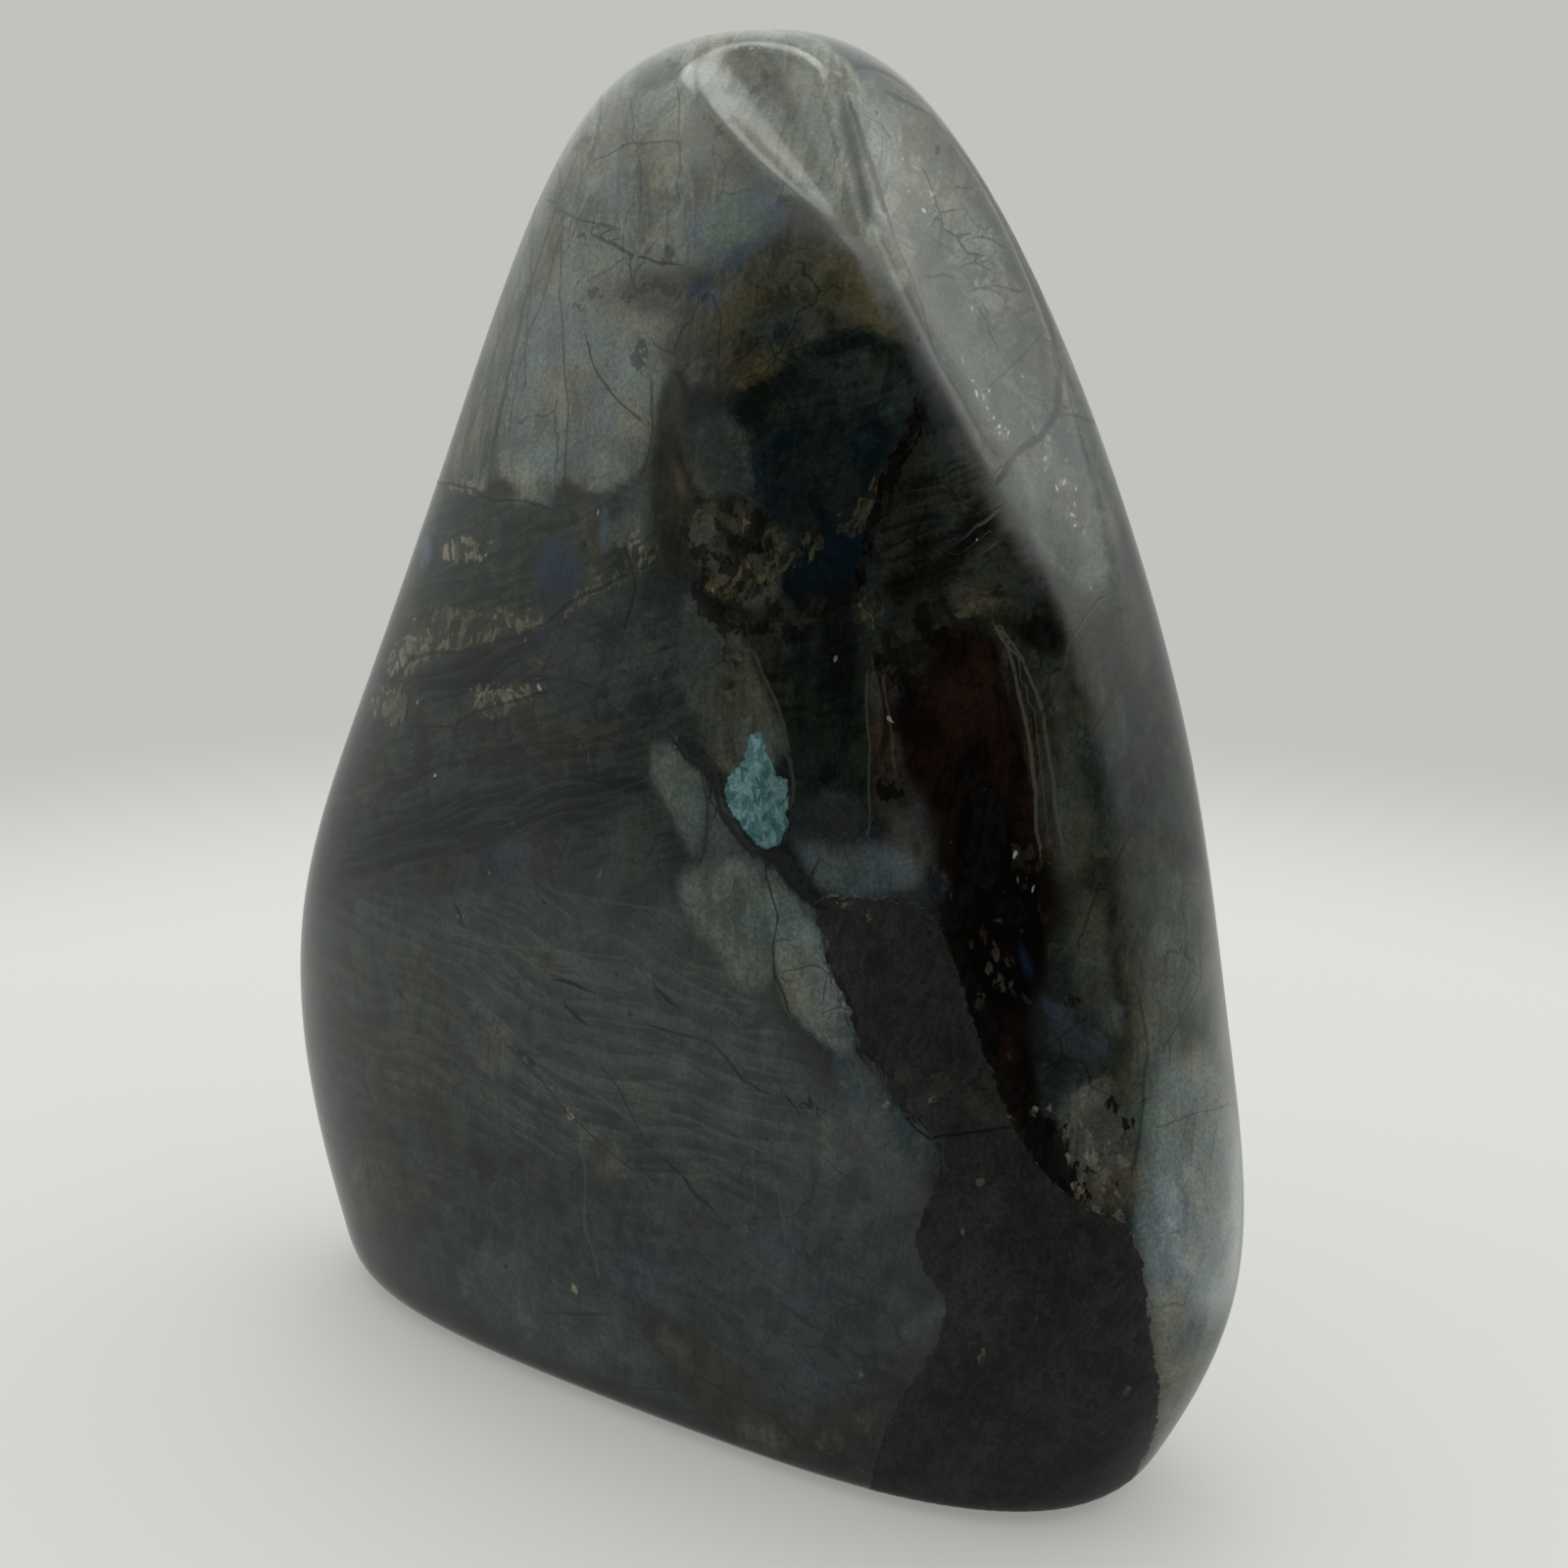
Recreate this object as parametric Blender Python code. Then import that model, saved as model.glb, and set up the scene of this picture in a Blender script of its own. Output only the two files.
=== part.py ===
"""A labradorite freeform tower: one polished stone that stands on a flat foot.

Metres, +Z up, X along the width, Y through the thickness. The broad face looks
toward -Y, and the ground hollows lie on the shoulder toward +X.

The stone is the surface where form_of(points) is zero. Four smooth sides, a crown
and a flat foot meet in soft blends, and shallow hollows are ground into the
shoulder. The mesh is a cube's grid, cast out from inside the stone onto it, then
thinned so that the triangles stay small only where the surface bends.
"""

import bmesh
import bpy
import numpy as np

# The stone's size, in metres
HEIGHT = 0.180

# Reach of each side from the upright axis, at these heights above the foot
STATIONS = (0.000, 0.030, 0.062, 0.095, 0.128, 0.156, 0.182)
LEFT_REACH = (0.0720, 0.0760, 0.0735, 0.0595, 0.0445, 0.0325, 0.0195)
RIGHT_REACH = (0.0640, 0.0765, 0.0720, 0.0645, 0.0525, 0.0380, 0.0205)
FRONT_REACH = (0.0240, 0.0305, 0.0335, 0.0320, 0.0280, 0.0235, 0.0170)
BACK_REACH = (0.0275, 0.0285, 0.0310, 0.0300, 0.0270, 0.0235, 0.0175)

# How far the broad faces fall back at BOW_HALF_WIDTH from the middle
BOW_HALF_WIDTH = 0.060
FRONT_BOW = 0.003
BACK_BOW = 0.009

# Roundness of the two ends, seen from above
LEFT_END_RADIUS = 0.044
RIGHT_END_RADIUS = 0.062
RIGHT_END_SHIFT = 0.002

# The crown is a dome, a little to the right of the axis
CROWN_SHIFT = 0.003
CROWN_RADIUS_X = 0.053
CROWN_RADIUS_Y = 0.034

# Width of the soft blends where these surfaces meet
BACK_LEFT_BLEND = 0.044
BACK_RIGHT_BLEND = 0.042
FRONT_LEFT_BLEND = 0.042
FRONT_RIGHT_BLEND_LOW = 0.038
FRONT_RIGHT_BLEND_HIGH = 0.026
FRONT_RIGHT_TURN_FROM = 0.050
FRONT_RIGHT_TURN_TO = 0.130
MIDDLE_BLEND = 0.006
CROWN_BLEND = 0.014
FOOT_BLEND = 0.008

# The hollows on the shoulder. A floor line runs from foot to top, the hollow faces
# outward along facing, and its radius grows from foot_radius to top_radius.
HOLLOWS = (
    {"name": "upper facet", "foot": (0.0462, -0.0105, 0.1330), "top": (0.0230, -0.0045, 0.1700),
     "facing": (0.832, -0.161, 0.530), "foot_radius": 0.060, "top_radius": 0.060, "blend": 0.0010},
    {"name": "lower facet", "foot": (0.0545, -0.0095, 0.1165), "top": (0.0468, -0.0050, 0.1345),
     "facing": (0.896, -0.127, 0.426), "foot_radius": 0.055, "top_radius": 0.055, "blend": 0.0010},
    {"name": "chamfer along the crest", "foot": (0.0450, -0.0178, 0.1305), "top": (0.0285, -0.0180, 0.1580),
     "facing": (0.674, -0.621, 0.400), "foot_radius": 0.200, "top_radius": 0.200, "blend": 0.0020},
    {"name": "wide scoop under the crown", "foot": (0.0290, -0.0190, 0.1560), "top": (0.0085, -0.0100, 0.1742),
     "facing": (0.250, -0.750, 0.610), "foot_radius": 0.000, "top_radius": 0.015, "blend": 0.0016},
    {"name": "narrow valley beside it", "foot": (0.0292, -0.0178, 0.1565), "top": (0.0203, -0.0098, 0.1716),
     "facing": (0.560, -0.560, 0.610), "foot_radius": 0.000, "top_radius": 0.004, "blend": 0.0010},
)

# The grid that is cast onto the stone, and the spine that it is cast from
SQUARES_PER_SIDE = 96
SHOULDER_DIRECTION = (0.49, -0.41, 0.77)
SHOULDER_PULL = 0.30
CAST_HALF_SIZE = (0.068, 0.030, 0.090)
CAST_CENTRE_HEIGHT = 0.088
SPINE_SHARE_OF_X = 0.25
SPINE_LOWEST = 0.040
SPINE_HIGHEST = 0.135
CAST_REACH = 0.160
CAST_HALVINGS = 40
EVENING_ROUNDS = 10
EVENING_SHARE = 0.5
GRADIENT_STEP = 0.00002
FOOT_TOLERANCE = 0.000005
TRIANGLES_KEPT = 9500

# Finish: a dark grey-green polished feldspar
STONE_COLOUR = (0.060, 0.066, 0.064, 1.0)
STONE_ROUGHNESS = 0.12


def clear_scene():
    for item in list(bpy.data.objects):
        bpy.data.objects.remove(item, do_unlink=True)


def unit(vector):
    vector = np.array(vector, dtype=float)
    return vector / np.linalg.norm(vector)


def smooth_curve(values):
    """Return a function of height that gives a natural cubic's value and slope."""
    height = np.array(STATIONS)
    value = np.array(values)
    count = len(height)
    step = np.diff(height)
    matrix = np.eye(count)
    right_side = np.zeros(count)
    for i in range(1, count - 1):
        matrix[i, i - 1] = step[i - 1]
        matrix[i, i] = 2 * (step[i - 1] + step[i])
        matrix[i, i + 1] = step[i]
        rise_above = (value[i + 1] - value[i]) / step[i]
        rise_below = (value[i] - value[i - 1]) / step[i - 1]
        right_side[i] = 6 * (rise_above - rise_below)
    bend = np.linalg.solve(matrix, right_side)

    def at(z):
        z = np.clip(z, height[0] - 0.015, height[-1] + 0.020)
        i = np.clip(np.searchsorted(height, z) - 1, 0, count - 2)
        above = height[i + 1] - z
        below = z - height[i]
        low = value[i] / step[i] - bend[i] * step[i] / 6
        high = value[i + 1] / step[i] - bend[i + 1] * step[i] / 6
        cubic = (bend[i] * above ** 3 + bend[i + 1] * below ** 3) / (6 * step[i])
        slope = (bend[i + 1] * below ** 2 - bend[i] * above ** 2) / (2 * step[i])
        return cubic + low * above + high * below, slope + high - low

    return at


left_at = smooth_curve(LEFT_REACH)
right_at = smooth_curve(RIGHT_REACH)
front_at = smooth_curve(FRONT_REACH)
back_at = smooth_curve(BACK_REACH)


def blend(a, b, width):
    """Keep what is inside both surfaces, with a soft edge where they cross."""
    overlap = np.clip(width - np.abs(a - b), 0, None) / width
    return np.maximum(a, b) + overlap ** 3 * width / 6


def ease(value, start, end):
    share = np.clip((value - start) / (end - start), 0, 1)
    return share * share * (3 - 2 * share)


def broad_face(outward, reach, slope, bow, x):
    fall = bow * (x / BOW_HALF_WIDTH) ** 2
    tilt = 2 * bow * x / BOW_HALF_WIDTH ** 2
    return (outward - reach + fall) / np.sqrt(1 + slope ** 2 + tilt ** 2)


def rounded_end(outward, reach, slope, radius, y):
    return (outward - reach + y * y / (2 * radius)) / np.sqrt(1 + slope ** 2 + (y / radius) ** 2)


def crown_of(x, y, z):
    x = x - CROWN_SHIFT
    drop = x * x / (2 * CROWN_RADIUS_X) + y * y / (2 * CROWN_RADIUS_Y)
    return (z - HEIGHT + drop) / np.sqrt(1 + (x / CROWN_RADIUS_X) ** 2 + (y / CROWN_RADIUS_Y) ** 2)


def body_of(points):
    """Sides and crown, before anything is ground into them."""
    x, y, z = points[..., 0], points[..., 1], points[..., 2]
    front = broad_face(-y, *front_at(z), FRONT_BOW, x)
    back = broad_face(y, *back_at(z), BACK_BOW, x)
    left = rounded_end(-x, *left_at(z), LEFT_END_RADIUS, y)
    right = rounded_end(x, *right_at(z), RIGHT_END_RADIUS, y - RIGHT_END_SHIFT)
    turn = ease(z, FRONT_RIGHT_TURN_FROM, FRONT_RIGHT_TURN_TO)
    front_right_blend = FRONT_RIGHT_BLEND_LOW + (FRONT_RIGHT_BLEND_HIGH - FRONT_RIGHT_BLEND_LOW) * turn
    right_half = blend(blend(front, right, front_right_blend), blend(back, right, BACK_RIGHT_BLEND), MIDDLE_BLEND)
    left_half = blend(blend(front, left, FRONT_LEFT_BLEND), blend(back, left, BACK_LEFT_BLEND), MIDDLE_BLEND)
    share = 1 / (1 + np.exp(-x / MIDDLE_BLEND))
    return blend(right_half * share + left_half * (1 - share), crown_of(x, y, z), CROWN_BLEND)


def hollow_of(points, hollow):
    """A round or tapering tool's path, as the space that the stone stays out of."""
    foot = np.array(hollow["foot"])
    top = np.array(hollow["top"])
    floor = unit(top - foot)
    facing = np.array(hollow["facing"])
    facing = unit(facing - floor * (facing @ floor))
    start = foot + facing * hollow["foot_radius"]
    end = top + facing * hollow["top_radius"]
    span = np.linalg.norm(end - start)
    along = (end - start) / span
    growth = (hollow["top_radius"] - hollow["foot_radius"]) / span
    offset = points - start
    travel = offset @ along
    away = np.linalg.norm(offset - travel[..., None] * along, axis=-1)
    return (hollow["foot_radius"] + growth * travel - away) / np.sqrt(1 + growth ** 2)


def form_of(points):
    """Negative inside the stone, zero on its surface."""
    form = body_of(points)
    for hollow in HOLLOWS:
        form = blend(form, hollow_of(points, hollow), hollow["blend"])
    return blend(form, -points[..., 2], FOOT_BLEND)


def crowd_toward_shoulder(directions):
    """Gather the grid where the hollows need it."""
    shoulder = unit(SHOULDER_DIRECTION)
    facing = np.clip(directions @ shoulder, 0, None) ** 2
    moved = directions + SHOULDER_PULL * facing[:, None] * shoulder
    return moved / np.linalg.norm(moved, axis=1, keepdims=True)


def cast_onto_stone(directions):
    """Move each direction of a ball out from the spine until it meets the surface."""
    aim = directions * np.array(CAST_HALF_SIZE) + np.array([0, 0, CAST_CENTRE_HEIGHT])
    spine = np.zeros_like(aim)
    spine[:, 0] = aim[:, 0] * SPINE_SHARE_OF_X
    spine[:, 2] = np.clip(aim[:, 2], SPINE_LOWEST, SPINE_HIGHEST)
    ray = aim - spine
    ray /= np.linalg.norm(ray, axis=1, keepdims=True)
    inside = np.zeros(len(aim))
    outside = np.full(len(aim), CAST_REACH)
    for _ in range(CAST_HALVINGS):
        middle = (inside + outside) / 2
        is_inside = form_of(spine + ray * middle[:, None]) < 0
        inside = np.where(is_inside, middle, inside)
        outside = np.where(is_inside, outside, middle)
    return spine + ray * inside[:, None]


def back_onto_stone(points):
    """Move points that are close to the surface onto it, down the form's slope."""
    form = form_of(points)
    slope = np.empty_like(points)
    for axis in range(3):
        step = np.zeros(3)
        step[axis] = GRADIENT_STEP
        slope[:, axis] = (form_of(points + step) - form_of(points - step)) / (2 * GRADIENT_STEP)
    return points - slope * (form / (slope ** 2).sum(axis=1))[:, None]


def evened(surface, edges):
    """Slide the grid along the surface toward equal squares."""
    neighbours = np.zeros(len(surface))
    np.add.at(neighbours, edges.ravel(), 1)
    for _ in range(EVENING_ROUNDS):
        total = np.zeros_like(surface)
        np.add.at(total, edges[:, 0], surface[edges[:, 1]])
        np.add.at(total, edges[:, 1], surface[edges[:, 0]])
        middle = total / neighbours[:, None]
        surface = back_onto_stone(surface + (middle - surface) * EVENING_SHARE)
    surface = back_onto_stone(back_onto_stone(surface))
    surface[np.abs(surface[:, 2]) < FOOT_TOLERANCE, 2] = 0
    return surface


def centred(surface):
    """Put the middle of the box over the origin, with the foot at zero."""
    low = surface.min(axis=0)
    high = surface.max(axis=0)
    return surface - np.array([(low[0] + high[0]) / 2, (low[1] + high[1]) / 2, low[2]])


def fine_mesh():
    """The whole form on an even, fine grid."""
    grid = bmesh.new()
    bmesh.ops.create_cube(grid, size=2)
    bmesh.ops.subdivide_edges(grid, edges=grid.edges[:], cuts=SQUARES_PER_SIDE - 1, use_grid_fill=True)
    grid.verts.index_update()
    cube = np.array([vertex.co[:] for vertex in grid.verts])
    directions = np.tan(cube * np.pi / 4)
    directions /= np.linalg.norm(directions, axis=1, keepdims=True)
    edges = np.array([[vertex.index for vertex in edge.verts] for edge in grid.edges])
    surface = cast_onto_stone(crowd_toward_shoulder(directions))
    surface = centred(evened(surface, edges))
    for vertex, place in zip(grid.verts, surface):
        vertex.co = place
    bmesh.ops.triangulate(grid, faces=grid.faces[:], quad_method="SHORT_EDGE")
    bmesh.ops.recalc_face_normals(grid, faces=grid.faces[:])
    mesh = bpy.data.meshes.new("fine stone")
    grid.to_mesh(mesh)
    grid.free()
    return mesh


def thinned(mesh):
    """Merge triangles where the surface is nearly flat, and keep the foot a true plane."""
    carrier = bpy.data.objects.new("fine stone", mesh)
    bpy.context.scene.collection.objects.link(carrier)
    modifier = carrier.modifiers.new("fewer triangles", "DECIMATE")
    modifier.decimate_type = "COLLAPSE"
    modifier.ratio = TRIANGLES_KEPT / len(mesh.polygons)
    result = bpy.data.meshes.new_from_object(carrier.evaluated_get(bpy.context.evaluated_depsgraph_get()))
    result.name = "stone"
    bpy.data.objects.remove(carrier, do_unlink=True)
    bpy.data.meshes.remove(mesh)
    for vertex in result.vertices:
        if vertex.co.z < FOOT_TOLERANCE:
            vertex.co.z = 0
    result.shade_smooth()
    return result


def stone_material():
    material = bpy.data.materials.new("polished_labradorite")
    material.use_nodes = True
    shader = material.node_tree.nodes["Principled BSDF"]
    shader.inputs["Base Color"].default_value = STONE_COLOUR
    shader.inputs["Roughness"].default_value = STONE_ROUGHNESS
    shader.inputs["Metallic"].default_value = 0.0
    return material


def make_stone():
    mesh = thinned(fine_mesh())
    mesh.materials.append(stone_material())
    stone = bpy.data.objects.new("stone", mesh)
    bpy.context.scene.collection.objects.link(stone)
    return stone


def main():
    clear_scene()
    make_stone()


if __name__ == "__main__":
    main()
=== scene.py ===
"""A labradorite freeform tower: the polished stone with its minerals, on a plain pale floor.

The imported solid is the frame. The stone here has the same form as that solid, on a
finer grid and with crisper ground edges, and its minerals are drawn on that grid:
each mark is an outline of a few points, in pixels of the photograph's 1600 frame or
of a matching view from the far side, carried onto the surface as a depth in
millimetres that the material sharpens.
"""

import bmesh
import bpy
import numpy as np
from bpy.props import FloatProperty, FloatVectorProperty, PointerProperty
from mathutils import Euler, Matrix, Vector


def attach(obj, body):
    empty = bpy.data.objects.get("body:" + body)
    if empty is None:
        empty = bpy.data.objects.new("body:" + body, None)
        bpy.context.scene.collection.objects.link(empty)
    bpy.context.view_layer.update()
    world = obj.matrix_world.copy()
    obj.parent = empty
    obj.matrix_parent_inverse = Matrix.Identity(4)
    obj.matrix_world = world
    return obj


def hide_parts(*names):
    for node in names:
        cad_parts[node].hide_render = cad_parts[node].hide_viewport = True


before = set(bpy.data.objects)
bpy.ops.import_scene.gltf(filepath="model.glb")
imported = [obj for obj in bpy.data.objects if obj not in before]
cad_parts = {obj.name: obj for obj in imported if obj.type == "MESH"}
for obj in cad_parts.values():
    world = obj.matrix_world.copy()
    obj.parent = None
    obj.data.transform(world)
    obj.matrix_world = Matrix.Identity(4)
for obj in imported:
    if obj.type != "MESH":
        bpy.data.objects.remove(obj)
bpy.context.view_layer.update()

bl_info = {
    "name": "Labradorite Freeform Tower",
    "version": (1, 0, 0),
    "blender": (4, 5, 0),
    "location": "View3D > Sidebar > Stone",
    "description": "Builds a polished labradorite freeform tower and a plain stage for it",
    "category": "Object",
}

# The stone's size, in metres
HEIGHT = 0.180

# Reach of each side from the upright axis, at these heights above the foot
STATIONS = (0.000, 0.030, 0.062, 0.095, 0.128, 0.156, 0.182)
LEFT_REACH = (0.0720, 0.0760, 0.0735, 0.0595, 0.0445, 0.0325, 0.0195)
RIGHT_REACH = (0.0640, 0.0765, 0.0720, 0.0645, 0.0525, 0.0380, 0.0205)
FRONT_REACH = (0.0240, 0.0305, 0.0335, 0.0320, 0.0280, 0.0235, 0.0170)
BACK_REACH = (0.0275, 0.0285, 0.0310, 0.0300, 0.0270, 0.0235, 0.0175)

# How far the broad faces fall back at BOW_HALF_WIDTH from the middle
BOW_HALF_WIDTH = 0.060
FRONT_BOW = 0.003
BACK_BOW = 0.009

# Roundness of the two ends, seen from above
LEFT_END_RADIUS = 0.044
RIGHT_END_RADIUS = 0.062
RIGHT_END_SHIFT = 0.002

# The crown is a dome, a little to the right of the axis
CROWN_SHIFT = 0.003
CROWN_RADIUS_X = 0.053
CROWN_RADIUS_Y = 0.034

# Width of the soft blends where these surfaces meet
BACK_LEFT_BLEND = 0.044
BACK_RIGHT_BLEND = 0.042
FRONT_LEFT_BLEND = 0.042
FRONT_RIGHT_BLEND_LOW = 0.038
FRONT_RIGHT_BLEND_HIGH = 0.026
FRONT_RIGHT_TURN_FROM = 0.050
FRONT_RIGHT_TURN_TO = 0.130
MIDDLE_BLEND = 0.006
CROWN_BLEND = 0.014
FOOT_BLEND = 0.008

# The hollows on the shoulder. A floor line runs from foot to top, the hollow faces
# outward along facing, and its radius grows from foot_radius to top_radius.
HOLLOWS = (
    {"name": "upper facet",
     "foot": (0.0462, -0.0105, 0.1330), "top": (0.0230, -0.0045, 0.1700), "facing": (0.832, -0.161, 0.530),
     "foot_radius": 0.060, "top_radius": 0.060, "blend": 0.0008},
    {"name": "lower facet",
     "foot": (0.0545, -0.0095, 0.1165), "top": (0.0468, -0.0050, 0.1345), "facing": (0.896, -0.127, 0.426),
     "foot_radius": 0.055, "top_radius": 0.055, "blend": 0.0008},
    {"name": "chamfer along the crest",
     "foot": (0.0450, -0.0178, 0.1305), "top": (0.0285, -0.0180, 0.1580), "facing": (0.674, -0.621, 0.400),
     "foot_radius": 0.200, "top_radius": 0.200, "blend": 0.0020},
    {"name": "wide scoop under the crown",
     "foot": (0.0290, -0.0190, 0.1560), "top": (0.0085, -0.0100, 0.1742), "facing": (0.250, -0.750, 0.610),
     "foot_radius": 0.000, "top_radius": 0.015, "blend": 0.0020},
    {"name": "narrow valley beside it",
     "foot": (0.0292, -0.0178, 0.1565), "top": (0.0203, -0.0098, 0.1716), "facing": (0.560, -0.560, 0.610),
     "foot_radius": 0.000, "top_radius": 0.004, "blend": 0.0008},
)

# The grid that is cast onto the stone, and the spine that it is cast from
GRID_SQUARES = 128
SHOULDER_DIRECTION = (0.49, -0.41, 0.77)
SHOULDER_PULL = 0.30
FRONT_DIRECTION = (0.30, -0.90, 0.20)
FRONT_PULL = 0.22
CAST_HALF_SIZE = (0.068, 0.030, 0.090)
CAST_CENTRE_HEIGHT = 0.088
SPINE_SHARE_OF_X = 0.25
SPINE_LOWEST = 0.040
SPINE_HIGHEST = 0.135
CAST_REACH = 0.160
CAST_HALVINGS = 28
EVENING_ROUNDS = 8
EVENING_SHARE = 0.5
GRADIENT_STEP = 0.00002
FOOT_TOLERANCE = 0.000005

# The camera of the photograph, in metres and degrees
CAMERA_AZIMUTH = 35.0
CAMERA_ELEVATION = 14.7
CAMERA_ROLL = 0.5
CAMERA_DISTANCE = 0.310
CAMERA_TARGET = (0.0059, 0.0012, 0.0849)
CAMERA_LENS = 54.0
CAMERA_SENSOR = 36.0
FRAME_SIDE = 1600
MILLIMETRES = 1000.0

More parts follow.
